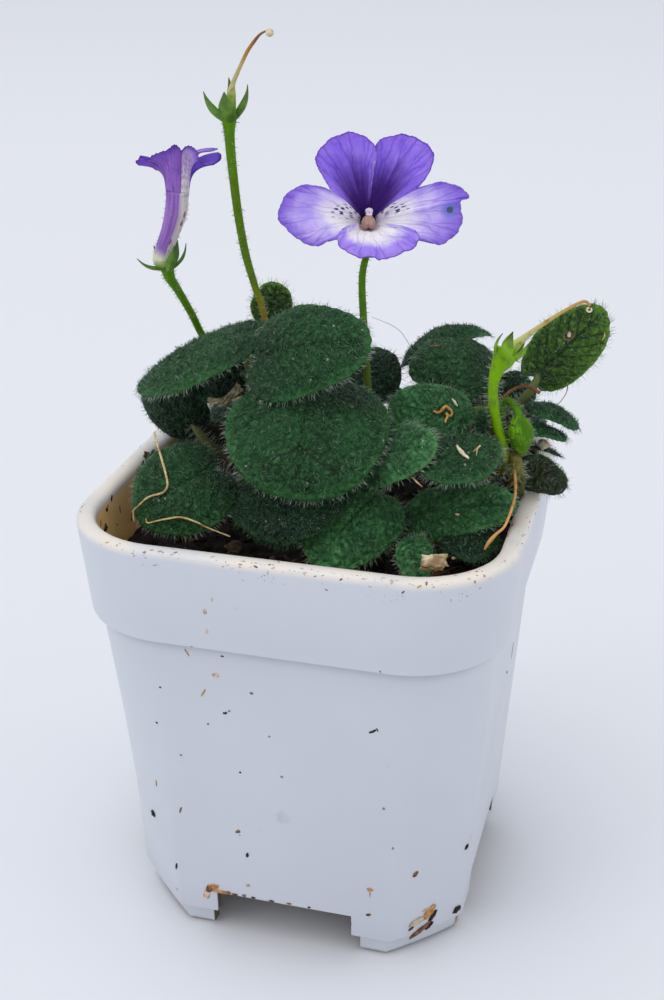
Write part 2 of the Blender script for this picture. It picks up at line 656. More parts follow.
# Each leaf: the stem it grows on and how high, where its stalk meets the blade, its tip, its width, the way
# its upper face looks, how far it arches along its length, how far its sides bend down, and how far its
# edge curls under.
LEAVES = {
    "leaf_upper_left": ("stem_left", 89.4, (-12.6, -0.5, 97.8), (-31.9, -3.0, 87.8), 17.0,
        (-0.25, -0.2, 0.94), 0.03, 0.14, 0.1),
    "leaf_left_hanging": ("stem_left", 73.5, (-24.5, 4.0, 78.0), (-33.0, 4.5, 86.5), 12.5,
        (-0.55, -0.75, 0.3), 0.1, 0.1, 0.06),
    "leaf_front_left": ("stem_left", 71.0, (-15.2, -11.5, 78.3), (-25.4, -20.0, 71.4), 16.6,
        (-0.15, -0.8, 0.58), 0.14, 0.12, 0.1),
    "leaf_top_small": ("stem_left", 83.0, (-14.4, 13.5, 94.6), (-12.7, 14.5, 101.4), 7.0, (0.3, -0.9, 0.1),
        0.08, 0.1, 0.04),
    "leaf_upper_middle": ("stem_left", 86.6, (-10.3, -7.3, 95.2), (8.8, -9.3, 100.5), 15.6,
        (0.1, -0.72, 0.68), 0.1, 0.14, 0.12),
    "leaf_front_middle": ("stem_middle", 82.5, (-0.6, -5.4, 91.6), (0.6, -20.6, 78.2), 25.6,
        (0.05, -0.72, 0.7), 0.14, 0.1, 0.08),
    "leaf_behind_middle": ("stem_middle", 82.0, (0.6, 12.0, 88.8), (8.9, 9.0, 85.8), 11.8,
        (0.35, -0.75, 0.58), 0.1, 0.12, 0.08),
    "leaf_front_low": ("stem_middle", 73.0, (-2.9, -9.0, 79.0), (-0.8, -21.5, 71.6), 20.5,
        (-0.1, -0.72, 0.68), 0.1, 0.12, 0.08),
    "leaf_front_low_right": ("stem_middle", 69.5, (10.6, -8.0, 75.4), (3.6, -21.0, 68.2), 14.6,
        (0.15, -0.72, 0.68), 0.1, 0.12, 0.08),
    "leaf_middle_small": ("stem_middle", 77.5, (9.0, -8.1, 80.6), (20.6, -15.7, 87.0), 10.4,
        (0.05, -0.72, 0.7), 0.08, 0.14, 0.08),
    "leaf_right_upper": ("stem_right", 82.0, (23.0, -0.6, 85.0), (10.6, -2.2, 87.9), 10.8,
        (-0.1, -0.72, 0.7), 0.12, 0.14, 0.08),
    "leaf_right_lower": ("stem_right", 79.4, (22.4, -8.3, 86.4), (25.2, -17.9, 82.8), 13.2,
        (0.1, -0.72, 0.7), 0.08, 0.12, 0.08),
    "leaf_back_right": ("stem_right", 84.5, (24.4, 10.8, 91.1), (11.4, 8.3, 90.9), 14.0,
        (-0.05, -0.45, 0.88), 0.14, 0.16, 0.1),
    "leaf_back_curled": ("stem_right", 81.0, (8.8, 17.0, 89.2), (22.8, 18.5, 94.2), 6.4,
        (-0.25, -0.1, 0.95), 0.2, 0.3, 0.08),
    "leaf_behind_stalk": ("stem_right", 82.5, (25.5, 13.0, 85.5), (31.5, 14.0, 86.5), 8.0,
        (0.15, -0.7, 0.68), 0.1, 0.1, 0.05),
    "leaf_right_inner": ("stem_right", 76.6, (25.6, -3.2, 83.5), (25.9, -4.0, 89.0), 3.6, (-0.8, -0.6, 0.1),
        0.05, 0.05, 0.0),
    "leaf_right_upright": ("stem_right", 86.0, (32.1, 7.5, 91.2), (42.5, 5.5, 103.7), 9.9,
        (0.05, -0.95, 0.3), 0.06, 0.05, 0.02),
    "leaf_side_top": ("stem_right", 83.3, (32.0, 6.3, 87.2), (39.7, 4.5, 84.5), 7.5, (0.2, 0.12, 0.95),
        0.12, 0.22, 0.1),
    "leaf_side_middle": ("stem_right", 77.5, (31.4, 4.0, 84.1), (38.2, 1.8, 83.4), 7.0, (0.2, 0.2, 0.95),
        0.1, 0.2, 0.08),
    "leaf_side_small": ("stem_right", 74.5, (31.0, 7.5, 79.4), (37.0, 6.5, 78.6), 6.5, (0.1, 0.42, 0.9),
        0.06, 0.05, 0.03),
    "leaf_side_low": ("stem_right", 70.5, (31.6, 1.0, 77.8), (39.2, -1.0, 77.2), 8.0, (0.1, 0.88, 0.28),
        0.06, 0.1, 0.03),
    "leaf_front_right": ("stem_right", 72.3, (14.8, -7.6, 71.0), (32.8, -11.8, 77.4), 9.2, (0.1, -0.7, 0.7),
        0.1, 0.12, 0.08),
    "leaf_corner_left": ("stem_right", 66.2, (17.6, -15.5, 71.6), (20.4, -24.0, 68.6), 5.6,
        (0.05, -0.6, 0.8), 0.08, 0.1, 0.05),
    "leaf_corner_right": ("stem_right", 69.4, (25.4, -9.0, 71.4), (27.6, -19.3, 70.9), 8.6,
        (0.1, -0.6, 0.78), 0.08, 0.1, 0.05),
    "leaf_left_inner": ("stem_left", 79.5, (-12.0, 6.4, 93.4), (-25.6, 5.0, 84.6), 14.4, (-0.1, -0.6, 0.75),
        0.08, 0.1, 0.05),
    "leaf_back_left": ("stem_left", 74.5, (-16.0, 12.0, 79.5), (-23.0, 26.0, 76.5), 16.0,
        (-0.25, -0.15, 0.95), 0.12, 0.12, 0.08),
    "leaf_back_middle_left": ("stem_left", 79.0, (-6.5, 17.0, 86.0), (-7.0, 31.0, 78.0), 16.0,
        (0.0, 0.5, 0.85), 0.12, 0.12, 0.08),
    "leaf_back_middle": ("stem_middle", 77.0, (8.0, 16.0, 82.0), (9.5, 30.5, 75.5), 15.0, (0.05, 0.5, 0.85),
        0.12, 0.12, 0.08),
    "leaf_back_corner": ("stem_right", 72.5, (23.0, 14.0, 82.6), (29.5, 27.0, 78.5), 15.0,
        (0.25, -0.15, 0.95), 0.12, 0.12, 0.08),
}
FRESH_LEAVES = ("leaf_front_right", "leaf_middle_small", "leaf_front_low_right", "leaf_corner_left",
    "leaf_right_upper")
YOUNG_LEAVES = ("leaf_top_small", "leaf_right_upright")
OLD_LEAVES = ("leaf_left_hanging", "leaf_left_inner", "leaf_front_low", "leaf_behind_middle",
    "leaf_behind_stalk", "leaf_right_inner", "leaf_corner_right", "leaf_back_left", "leaf_back_corner",
    "leaf_back_middle", "leaf_back_middle_left", "leaf_side_small")

BASE_LOBE = 0.12                # how far the two base lobes reach back past the leaf stalk
TOOTH_SPACING = 1.9
TOOTH_DEPTH = 0.022
SIDE_VEINS = 6.5
QUILT = 0.11                    # how far the leaf swells between two side veins
MIDRIB_DEPTH = 0.28
BLADE_THICKNESS = 0.5
PETIOLE_RADIUS = 0.75
PETIOLE_HAIRS_PER_MM = 14
HAIRS_PER_SQUARE_MM = 8.0
GREEN_HAIR_SHARE = 0.8
WHITE_HAIR_SHARE = 0.09
YOUNG_WHITE_HAIR_SHARE = 0.16
GREEN_HAIR_HALF = 0.052
WHITE_HAIR_HALF = 0.024
FRINGE_PER_MM = 4.6
FRINGE_HAIR_HALF = 0.027
UNDERSIDE_HAIRS = 1.4           # on each square millimetre
LARGE_LEAF = 12                 # a leaf wider than this is given a finer mesh
HAIR_LENGTH = 1.15
STALK_FINISH, GREEN_FINISH, WHITE_FINISH = 2, 3, 4      # after the upper and the under face


def leaf_frame(name):
    """A leaf's own axes as rows: along the midrib, to its side, out of its upper face. And its origin."""
    base, tip, face = (Vector(LEAVES[name][i]) for i in (2, 3, 5))
    along = (tip - base).normalized()
    up = (face - face.dot(along) * along).normalized()
    return np.array((along, up.cross(along), up)), np.array(base)


def blade(name, x, y):
    """The middle of a leaf's blade over the unit disc, in millimetres from the pot's axis."""
    base, tip, width, arch, bend, curl = (LEAVES[name][i] for i in (2, 3, 4, 6, 7, 8))
    length = (Vector(tip) - Vector(base)).length
    seed = sum(ord(letter) for letter in name) % 50
    reach = np.hypot(x, y)
    turn = np.arctan2(y, x)
    teeth = round(math.pi * (length + width) / 2 / TOOTH_SPACING)
    saw = np.abs(np.sin(teeth * turn / 2 + 0.6 * np.sin(2 * turn + seed)))
    tooth = TOOTH_DEPTH * (saw - 0.6) * reach ** 8
    wave = 0.018 * np.sin(3 * turn + seed) + 0.014 * np.sin(5 * turn + 2.3 * seed)
    grow = 1 + tooth + wave * reach ** 2
    along, across = x * grow, y * grow
    notch = BASE_LOBE * np.exp(-(across / 0.22) ** 2) * np.maximum(0.0, -along) ** 2
    far = (1 + BASE_LOBE) * (1 + along) / 2 - BASE_LOBE + notch
    wide = across * (1 - 0.08 * along)
    high = 4 * arch * length * far * (1 - far) - bend * width / 2 * wide ** 2
    high = high - curl * width / 2 * reach ** 5
    vein_at = SIDE_VEINS * (far - 0.42 * np.abs(wide) * width / length)
    fade = np.clip(1.15 - reach, 0, 1) ** 0.5
    high = high + QUILT * np.cos(2 * math.pi * vein_at) * fade * np.minimum(1, np.abs(wide) * 5)
    high = high - MIDRIB_DEPTH * np.exp(-(wide * width / 2 / 0.55) ** 2) * fade * (far > 0)
    ripple = 0.18 * np.sin(1.1 * far * length + seed) * np.sin(0.9 * wide * width / 2 + 2 * seed)
    high = high + ripple * reach
    frame_rows, origin = leaf_frame(name)
    local = np.stack((far * length, wide * width / 2, high), axis=-1)
    return local @ frame_rows + origin, far, wide


def blade_and_normal(name, x, y):
    """Points on the blade's middle, and the way out of its upper face there."""
    step = 0.004
    here, far, wide = blade(name, x, y)
    ahead = blade(name, x + step, y)[0] - here
    aside = blade(name, x, y + step)[0] - here
    return here, unit(np.cross(ahead, aside)), far, wide


def on_blade(name, a, b, lift):
    """One place just above a leaf."""
    here, out, _, _ = blade_and_normal(name, np.array([a]), np.array([b]))
    return Vector(here[0] + out[0] * (BLADE_THICKNESS / 2 + lift))


def leaf_green(name, dark, mid, light, vein, backlit=False, foot_shade=0.6):
    """The upper face of a leaf: velvety green, cloudy, with veins and a lighter toothed edge."""
    skin = Skin(name)
    along, across, edge = (skin.mark(mark) for mark in ("along", "across", "edge"))
    skin.colour = skin.mix(skin.patches(150.0, 0.5, 0.18), dark, mid)
    fine = skin.noise(1400.0, 3.0)
    skin.tint(light, skin.between(fine, 0.42, 0.72), 0.6)
    skin.tint(light, skin.between(edge, 0.86, 1.0), 0.55)
    side = skin.sum("ABSOLUTE", across)
    drift = skin.times(skin.minus(skin.noise(260.0), 0.5), 0.9)
    level = skin.times(skin.minus(along, skin.times(side, 0.42)), SIDE_VEINS)
    level = skin.plus(skin.plus(level, drift), 0.5)
    away = skin.sum("ABSOLUTE", skin.minus(skin.sum("FRACT", level), 0.5))
    side_vein = skin.between(away, 0.16 if backlit else 0.1, 0.02)
    midrib = skin.between(side, 0.1 if backlit else 0.05, 0.01)
    net = skin.node("TexVoronoi", {"Vector": skin.place, "Scale": 620.0}, feature="DISTANCE_TO_EDGE")
    mesh_vein = skin.times(skin.between(net.outputs["Distance"], 0.14, 0.02), 0.5)
    veins = skin.sum("MAXIMUM", skin.sum("MAXIMUM", side_vein, midrib), mesh_vein)
    skin.tint(vein, skin.times(veins, skin.between(edge, 1.0, 0.75)), 0.85 if backlit else 0.55)
    skin.tint(vein, skin.between(along, 0.36, 0.08), foot_shade)
    skin.tint((0.45, 0.52, 0.42), skin.grains(900.0, 0.17, 0.06), 0.7)
    pebble = skin.plus(skin.times(fine, 0.5), skin.between(net.outputs["Distance"], 0.0, 0.35))
    relief = skin.minus(pebble, skin.times(veins, 0.5))
    return skin.finish(0.58, relief, 0.8, 0.0005, specular=0.28, Weight=0.04, Roughness=0.4,
        Tint=(0.5, 0.8, 0.6))


LEAF_TOP = leaf_green("velvet leaf", (0.004, 0.027, 0.008), (0.014, 0.082, 0.022), (0.05, 0.2, 0.055),
    (0.002, 0.015, 0.005))
OLD_TOP = leaf_green("old leaf", (0.002, 0.011, 0.005), (0.005, 0.028, 0.011), (0.018, 0.07, 0.026),
    (0.001, 0.008, 0.003))
FRESH_TOP = leaf_green("fresh leaf", (0.017, 0.09, 0.028), (0.052, 0.215, 0.065), (0.13, 0.37, 0.13),
    (0.008, 0.046, 0.015), foot_shade=0.1)
LEAF_UNDER = leaf_green("leaf underside", (0.02, 0.038, 0.012), (0.034, 0.06, 0.02), (0.06, 0.085, 0.035),
    (0.05, 0.035, 0.02), foot_shade=0.0)
YOUNG_TOP = leaf_green("young leaf", (0.032, 0.078, 0.01), (0.088, 0.2, 0.019), (0.18, 0.38, 0.038),
    (0.014, 0.02, 0.008), backlit=True, foot_shade=0.0)
LEAF_TOPS = ((YOUNG_LEAVES, YOUNG_TOP), (OLD_LEAVES, OLD_TOP), (FRESH_LEAVES, FRESH_TOP))
PETIOLE_SKIN = stalk_skin("leaf stalk", (0.03, 0.035, 0.012), (0.07, 0.085, 0.025), (0.2, 0.25, 0.09))


def blade_half(reach):
    """Half the blade's thickness, which thins towards its edge."""
    return BLADE_THICKNESS / 2 * (1 - 0.65 * reach ** 3)


def under_faces(faces, count):
    """The same faces on the under skin, whose points follow those of the upper one, seen from below."""
    return [[count + corner for corner in face[::-1]] for face in faces]


def swirl(points):
    """An angle that changes slowly over the leaf, so that the hairs lie in whorls."""
    x, y, z = points[:, 0], points[:, 1], points[:, 2]
    wide_swirl = 2.6 * np.sin(0.55 * x + 1.3 * np.sin(0.41 * z + y * 0.2))
    return wide_swirl + 2.2 * np.sin(0.6 * z + 1.7 * np.sin(0.37 * x))


def add_blade(piece, name, width):
    """A leaf's blade: its upper and its under face, which meet in a thin toothed edge."""
    steps, rings = (120, 18) if width > LARGE_LEAF else (84, 12)
    turn = np.linspace(0, 2 * math.pi, steps, endpoint=False)
    radii = (np.arange(1, rings + 1) / rings)[:, None] ** 0.85
    x = np.append(0.0, radii * np.cos(turn))
    y = np.append(0.0, radii * np.sin(turn))
    middle, out, far, wide = blade_and_normal(name, x, y)
    reach = np.hypot(x, y)
    out = out * blade_half(reach)[:, None]
    count = len(x)
    upper = [(0, 1 + i, 1 + (i + 1) % steps) for i in range(steps)]
    upper += [(a, d, c, b) for a, b, c, d in ring_faces(rings, steps, 1)]
    last = list(range(count - steps, count))
    rim = [(a, a + count, b + count, b) for a, b in zip(last, last[1:] + last[:1])]
    add_skin(piece, np.concatenate((middle + out, middle - out)), upper + rim + under_faces(upper, count),
        [0] * len(upper + rim) + [1] * len(upper), *(np.tile(mark, 2) for mark in (far, wide, reach)))


def petiole_row(name, stem, root_height, base):
    """The points of a leaf's own stalk, from the skin of its stem to the foot of its blade."""
    stem_points = stem_row(stem)
    axis_point = Vector(stem_points[np.argmin(np.abs(stem_points[:, 2] - root_height))])
    outward = Vector(base) - axis_point
    outward.z = 0.0
    outward.normalize()
    root = axis_point + outward * (STEM_RADIUS * 0.8)
    seat_point, seat_out, _, _ = blade_and_normal(name, np.array([-0.8]), np.array([0.0]))
    seat = Vector(seat_point[0] - seat_out[0] * 0.25)
    bend = root + outward * 0.45 * (seat - root).length
    return smooth_row([root, root.lerp(bend, 0.5), bend.lerp(seat, 0.45), seat], 14)


def add_coat(piece, name, face, total, green, rng):
    """Curved hairs all over one face of a blade, most of them pressed down in whorls and some erect."""
    far_out = np.sqrt(rng.random(total)) * 0.985
    angle = rng.random(total) * 2 * math.pi
    roots, normal, _, _ = blade_and_normal(name, far_out * np.cos(angle), far_out * np.sin(angle))
    normal = face * normal
    across = unit(np.cross(normal, np.array((0.3, 0.2, 1.0))))
    other = np.cross(normal, across)
    way = swirl(roots) + rng.normal(0, 0.7, total)
    flat = np.cos(way)[:, None] * across + np.sin(way)[:, None] * other
    bow = np.sin(way)[:, None] * across - np.cos(way)[:, None] * other
    erect = rng.random(total) < 0.3
    rise = np.where(erect, rng.uniform(0.7, 1.2, total), rng.uniform(0.18, 0.5, total))[:, None]
    lean = flat * np.where(erect, 0.35, 1.0)[:, None] + normal * 0.1
    size = HAIR_LENGTH * rng.uniform(0.6, 1.25, total) * (0.75 if green else 1.0)
    finish, thick = (GREEN_FINISH, GREEN_HAIR_HALF) if green else (WHITE_FINISH, WHITE_HAIR_HALF)
    add_hairs(piece, roots + normal * blade_half(far_out)[:, None], normal * rise, lean, size, finish,
        thick, bow * rng.normal(0, 1.0, (total, 1)))


def add_fringe(piece, name, total, finish, rng):
    """Straight hairs that stand out from a blade's edge."""
    angle = rng.random(total) * 2 * math.pi
    roots, normal, _, _ = blade_and_normal(name, np.cos(angle), np.sin(angle))
    outer_way = unit(roots - blade(name, 0.96 * np.cos(angle), 0.96 * np.sin(angle))[0])
    side = np.cross(normal, outer_way)
    rise = outer_way + normal * rng.normal(0.15, 0.35, (total, 1)) + side * rng.normal(0, 0.3, (total, 1))
    lean = unit(rise + normal * rng.normal(0.1, 0.4, (total, 1)))
    add_hairs(piece, roots, unit(rise), lean, rng.uniform(0.45, 1.0, total), finish, FRINGE_HAIR_HALF)


def grow_leaf(name):
    """One leaf: its blade, its stalk and its hairs."""
    stem, root_height, base, tip, width = LEAVES[name][:5]
    length = (Vector(tip) - Vector(base)).length
    rng = np.random.default_rng(sum(ord(letter) for letter in name))
    piece = new_piece()
    add_blade(piece, name, width)
    row = petiole_row(name, stem, root_height, base)
    radii = (PETIOLE_RADIUS, PETIOLE_RADIUS, PETIOLE_RADIUS * 1.05, PETIOLE_RADIUS * 0.7)
    add_stalk(piece, row, radii, 10, STALK_FINISH, 0.05)
    area = math.pi / 4 * length * width
    white_share = YOUNG_WHITE_HAIR_SHARE if name in YOUNG_LEAVES else WHITE_HAIR_SHARE
    add_coat(piece, name, 1, int(area * (GREEN_HAIR_SHARE * HAIRS_PER_SQUARE_MM)), True, rng)
    add_coat(piece, name, 1, int(area * (white_share * HAIRS_PER_SQUARE_MM)), False, rng)
    add_coat(piece, name, -1, int(area * UNDERSIDE_HAIRS), False, rng)
    fringe = int(math.pi * (length + width) / 2 * FRINGE_PER_MM)
    add_fringe(piece, name, fringe, GREEN_FINISH if name in OLD_LEAVES else WHITE_FINISH, rng)
    hairs_round_stalk(piece, row, radii, PETIOLE_HAIRS_PER_MM, STALK_HAIR_LENGTH, WHITE_FINISH, rng)
    top = next((green for names, green in LEAF_TOPS if name in names), LEAF_TOP)
    finish_piece(piece, name + "_grown", [top, LEAF_UNDER, PETIOLE_SKIN, GREEN_HAIR, WHITE_HAIR],
        "young_leaf" if name in YOUNG_LEAVES else "leaf", name)


for leaf_name in LEAVES:
    grow_leaf(leaf_name)


# ------------------------------------------------------------------ the soil
# Dark potting mix fills the pot to a little below the rim: fine damp peat with crumbs, bark flakes, pale
# grains and thin roots. It lies loose in the pot, and the three stems grow out of it.

SOIL_FLOOR = FLOOR_TOP_Z + 1.0
SOIL_HALF = 31.2
SOIL_SQUARENESS = 5.8
SOIL_RINGS = 56
SOIL_AROUND = 170
CRUMBS = 520
BARK_FLAKES = 70
PALE_GRAINS = 34
ROOT_FIBRES = 60


def add_ball(piece, centre, radii, finish, turn=None, lumps=0.0, seed=0, around=20, rows=14):
    """A rounded lump, given its radii and how it is turned."""
    tilt = np.linspace(0.06, math.pi - 0.06, rows)[:, None]
    angle = np.linspace(0, 2 * math.pi, around, endpoint=False)
    shape = np.dstack((np.sin(tilt) * np.cos(angle), np.sin(tilt) * np.sin(angle), np.cos(tilt)
        * np.ones(around))).reshape(-1, 3)
    size = 1 + lumps * (np.sin(3.1 * shape[:, 0] * 2 + seed) * np.sin(2.7 * shape[:, 1] * 2 + 2 * seed)
        + 0.6 * np.sin(7.3 * shape[:, 2] + 5.1 * shape[:, 0] + seed))
    points = shape * size[:, None] * np.array(radii)
    if turn is not None:
        points = points @ np.array(turn.to_matrix()).T
    faces = [(b, a, d, c) for a, b, c, d in ring_faces(rows, around)]
    faces += [face[::-1] for face in end_faces(rows, around)]
    add_skin(piece, points + np.array(centre), faces, finish, np.repeat(np.linspace(0, 1, rows), around),
        np.tile(np.cos(angle), rows))


def plain_skin(name, colours, scale, roughness=0.5, bump_depth=0.0003, under_skin=0.0):
    """A natural skin that wanders between two colours, with fine relief."""
    skin = Skin(name)
    clouds = skin.noise(scale, 4.0)
    skin.colour = skin.mix(skin.between(clouds, 0.36, 0.64), *colours[:2])
    if len(colours) > 2:
        skin.tint(colours[2], skin.between(skin.mark("along"), 0.5, 1.0))
    return skin.finish(roughness, clouds, 0.5, bump_depth, (under_skin, 0.0006, 0.0004, 0.0006))


def soil_level(x, y):
    """The height of the soil's rough top, in millimetres."""
    place = Vector((x, y, 0.0))
    lumps = noise.fractal(place * 0.5, 1.0, 2.0, 4) * 0.55 + noise.noise(place * 0.11) * 0.5
    return SOIL_TOP - 0.9 + lumps - 0.5 * abs(noise.noise(place * 1.9))


PEAT = plain_skin("peat", ((0.0035, 0.0024, 0.0016), (0.016, 0.0095, 0.006)), 1100.0, 0.95, 0.0009)
PEAT_BROWN = plain_skin("brown crumb", ((0.01, 0.006, 0.004), (0.05, 0.026, 0.014)), 900.0, 0.9, 0.0006)
FLAKE_BROWN = plain_skin("bark flake", ((0.035, 0.017, 0.009), (0.13, 0.065, 0.03)), 700.0, 0.8, 0.0006)
PALE_GRAIN = plain_skin("pale grain", ((0.3, 0.25, 0.18), (0.55, 0.5, 0.42)), 800.0, 0.7, 0.0004)
ROOT_SKIN = plain_skin("dry root", ((0.1, 0.055, 0.025), (0.3, 0.19, 0.09)), 900.0)
turn = np.linspace(0, 2 * math.pi, SOIL_AROUND, endpoint=False)
edge_reach = SOIL_HALF / (np.abs(np.cos(turn)) ** SOIL_SQUARENESS
    + np.abs(np.sin(turn)) ** SOIL_SQUARENESS) ** (1 / SOIL_SQUARENESS)
soil_bed = new_piece()
soil_points = []
for share in np.linspace(0.01, 1.0, SOIL_RINGS):
    soil_points += [(x, y, soil_level(x, y)) for x, y in zip(share * edge_reach * np.cos(turn),
        share * edge_reach * np.sin(turn))]
for narrow, level in ((0.97, POT_HEIGHT - BAND_HEIGHT - 1.5), (0.84, SOIL_FLOOR)):
    for reach, angle in zip(narrow * edge_reach, turn):
        soil_points.append((reach * math.cos(angle), reach * math.sin(angle), level))
soil_faces = [(a, d, c, b) for a, b, c, d in ring_faces(SOIL_RINGS + 2, SOIL_AROUND)]
soil_faces += [face[::-1] for face in end_faces(SOIL_RINGS + 2, SOIL_AROUND)]
add_skin(soil_bed, soil_points, soil_faces)
rng = np.random.default_rng(11)


def scatter(count, low, high, flat, finish, lumps):
    """Drop grains on the soil: their size, how flat they are, and how lumpy."""
    for k in range(count):
        x, y = rng.uniform(-SOIL_HALF + 1.6, SOIL_HALF - 1.6, 2)
        if abs(x) + abs(y) > 1.62 * SOIL_HALF:
            continue
        size = low * (high / low) ** (rng.random() ** 1.8)
        tilt = Vector(rng.normal(0, 0.35, 3)) + Vector((0, 0, 1))
        turned = tilt.to_track_quat("Z", "Y") @ Quaternion((0, 0, 1), rng.random() * 6)
        radii = (size, size * rng.uniform(0.5, 0.9), size * flat * rng.uniform(0.7, 1.1))
        place = (x, y, soil_level(x, y) + size * flat * 0.4)
        add_ball(soil_bed, place, radii, finish, turned, lumps, k, 9, 6)


scatter(CRUMBS, 0.3, 1.4, 0.75, 0, 0.24)
scatter(CRUMBS // 3, 0.25, 1.0, 0.7, 1, 0.24)
scatter(BARK_FLAKES, 0.6, 2.0, 0.25, 2, 0.15)
scatter(PALE_GRAINS, 0.2, 0.5, 0.8, 3, 0.18)
for k in range(ROOT_FIBRES):
    x, y = rng.uniform(-SOIL_HALF + 5, SOIL_HALF - 5, 2)
    angle = rng.random() * 6.28
    way = np.array((math.cos(angle), math.sin(angle), 0.0)) * rng.uniform(1.0, 2.6)
    middle = np.array((x, y, soil_level(x, y) + rng.uniform(0.25, 0.8)))
    start = middle - way - (0, 0, 0.5)
    bend = middle + rng.normal(0, 0.3, 3)
    row = smooth_row([start, bend, middle + way - (0, 0, 0.4)], 8)
    add_stalk(soil_bed, row, (0.05, 0.09, 0.04), 5, 4)
finish_piece(soil_bed, "soil_bed", [PEAT, PEAT_BROWN, FLAKE_BROWN, PALE_GRAIN, ROOT_SKIN], "soil", "soil")


# ------------------------------------------------------------------ dirt on the pot
# Potting mix and rust-coloured mud have dried on the pot's outside, on its rim and on its inner wall. Each
# crumb is stuck on the plastic; each stain is a film too thin to feel.

CRUMB, MUD, AMBER, BEIGE, STAIN = range(5)
# Each mark by what it is: where on the pot, half its length and width, and how many degrees it is turned.
POT_DIRT = {
    CRUMB: [(-23.3, -26.1, 20.1, 0.75, 0.6, 40), (-18.6, -28.5, 12.0, 0.85, 0.25, 70),
        (-5.8, -29.2, 17.4, 0.5, 0.24, 80), (-8.1, -31.2, 45.5, 0.4, 0.22, 20),
        (4.5, -28.7, 8.4, 0.3, 0.2, 0), (-5.2, -28.7, 8.3, 0.4, 0.2, 0),
        (-17.8, -30.0, 48.6, 0.18, 0.16, 0), (-6.1, -30.0, 34.3, 0.2, 0.16, 0),
        (-19.8, -30.5, 41.4, 0.22, 0.16, 0), (15.5, -31.2, 46.2, 0.75, 0.2, 35),
        (16.2, -31.2, 46.6, 0.4, 0.1, 110), (28.7, -19.3, 18.7, 0.55, 0.36, 60),
        (23.6, -23.4, 4.6, 1.0, 0.5, 40), (24.3, -23.2, 6.6, 1.3, 0.5, 60),
        (27.5, -19.2, 5.5, 0.85, 0.6, 30), (30.7, 3.9, 38.7, 0.3, 0.24, 0)],
    MUD: [(-7.2, -29.5, 22.0, 0.45, 0.28, 20), (-16.9, -29.7, 24.6, 0.7, 0.16, 75),
        (-3.6, -31.5, 50.0, 0.3, 0.2, 0), (-8.0, -31.9, 56.1, 0.3, 0.15, 0),
        (-12.8, -28.6, 8.7, 0.9, 0.6, 60), (-9.6, -28.7, 8.4, 0.5, 0.3, 0),
        (-6.8, -28.7, 8.4, 0.4, 0.25, 0), (1.0, -28.7, 8.4, 0.45, 0.2, 0),
        (-8.4, -28.7, 8.3, 0.55, 0.22, 0), (-2.0, -28.7, 8.3, 0.5, 0.2, 0),
        (-15.8, -30.0, 35.9, 0.2, 0.15, 0), (-10.7, -30.0, 42.9, 0.18, 0.16, 0),
        (21.8, -26.9, 17.5, 0.65, 0.4, 60), (14.6, -28.7, 9.1, 0.45, 0.28, 20),
        (22.4, -24.6, 4.3, 2.4, 0.55, 28), (21.2, -25.9, 5.4, 0.6, 0.3, 30),
        (33.9, 10.0, 40.0, 1.6, 0.12, 88)],
    AMBER: [(-11.5, -31.4, 48.7, 0.8, 0.16, 60), (-13.7, -31.9, 55.9, 0.7, 0.15, 120),
        (-21.4, -28.5, 28.2, 0.75, 0.16, 85), (-12.2, -28.6, 9.1, 1.1, 0.5, 10),
        (-11.0, -28.7, 8.3, 1.6, 0.34, 0), (14.9, -29.0, 14.6, 0.48, 0.36, 0),
        (14.9, -29.0, 13.6, 0.7, 0.1, 90), (23.7, -23.8, 7.8, 1.5, 0.8, 50)],
    BEIGE: [(-6.0, -28.8, 10.8, 0.4, 0.28, 30), (23.2, -24.2, 8.6, 0.7, 0.3, 10),
        (22.0, -25.3, 6.6, 1.4, 0.7, 20), (27.0, -16.6, 0.9, 0.9, 0.55, 10)],
    STAIN: [(-9.2, -31.6, 52.4, 0.55, 0.4, 0), (-13.4, -28.6, 7.4, 1.3, 0.6, 75),
        (-12.0, -28.6, 9.4, 0.9, 0.4, 20), (-9.6, -34.3, 64.8, 0.5, 0.28, 80),
        (-9.5, -34.0, 61.3, 0.4, 0.2, 80), (-8.3, -34.5, 67.1, 0.36, 0.16, 80)],
}
# The same on the inner wall, seen from inside the pot.
WALL_DIRT = {
    CRUMB: [(-31.7, -18.0, 71.6, 0.4, 0.36, 0), (-31.7, -13.1, 69.4, 0.75, 0.13, 90),
        (-31.7, -19.4, 68.8, 0.7, 0.5, 20), (-31.7, -15.7, 72.6, 0.5, 0.25, 60),
        (-31.7, -8.9, 66.5, 0.25, 0.15, 0), (-31.7, 0.2, 73.4, 1.1, 0.8, 20),
        (-31.7, 2.4, 73.2, 0.8, 0.5, 10), (-31.7, -2.2, 73.0, 0.9, 0.35, 30)],
    MUD: [(-31.7, -17.4, 72.0, 0.28, 0.14, 60), (-31.7, -21.0, 70.6, 0.6, 0.2, 80),
        (31.7, -11.0, 73.7, 0.5, 0.16, 0), (31.7, -4.0, 73.5, 0.9, 0.22, 0)],
    AMBER: [(31.7, -6.0, 73.6, 0.8, 0.2, 0), (31.7, -15.0, 73.6, 0.4, 0.16, 0)],
    STAIN: [(31.7, -9.0, 73.4, 1.6, 0.3, 0), (31.7, -13.0, 73.5, 1.8, 0.26, 4)],
}
RIM_STAINS = 210
FILM_THICKNESS = 0.035
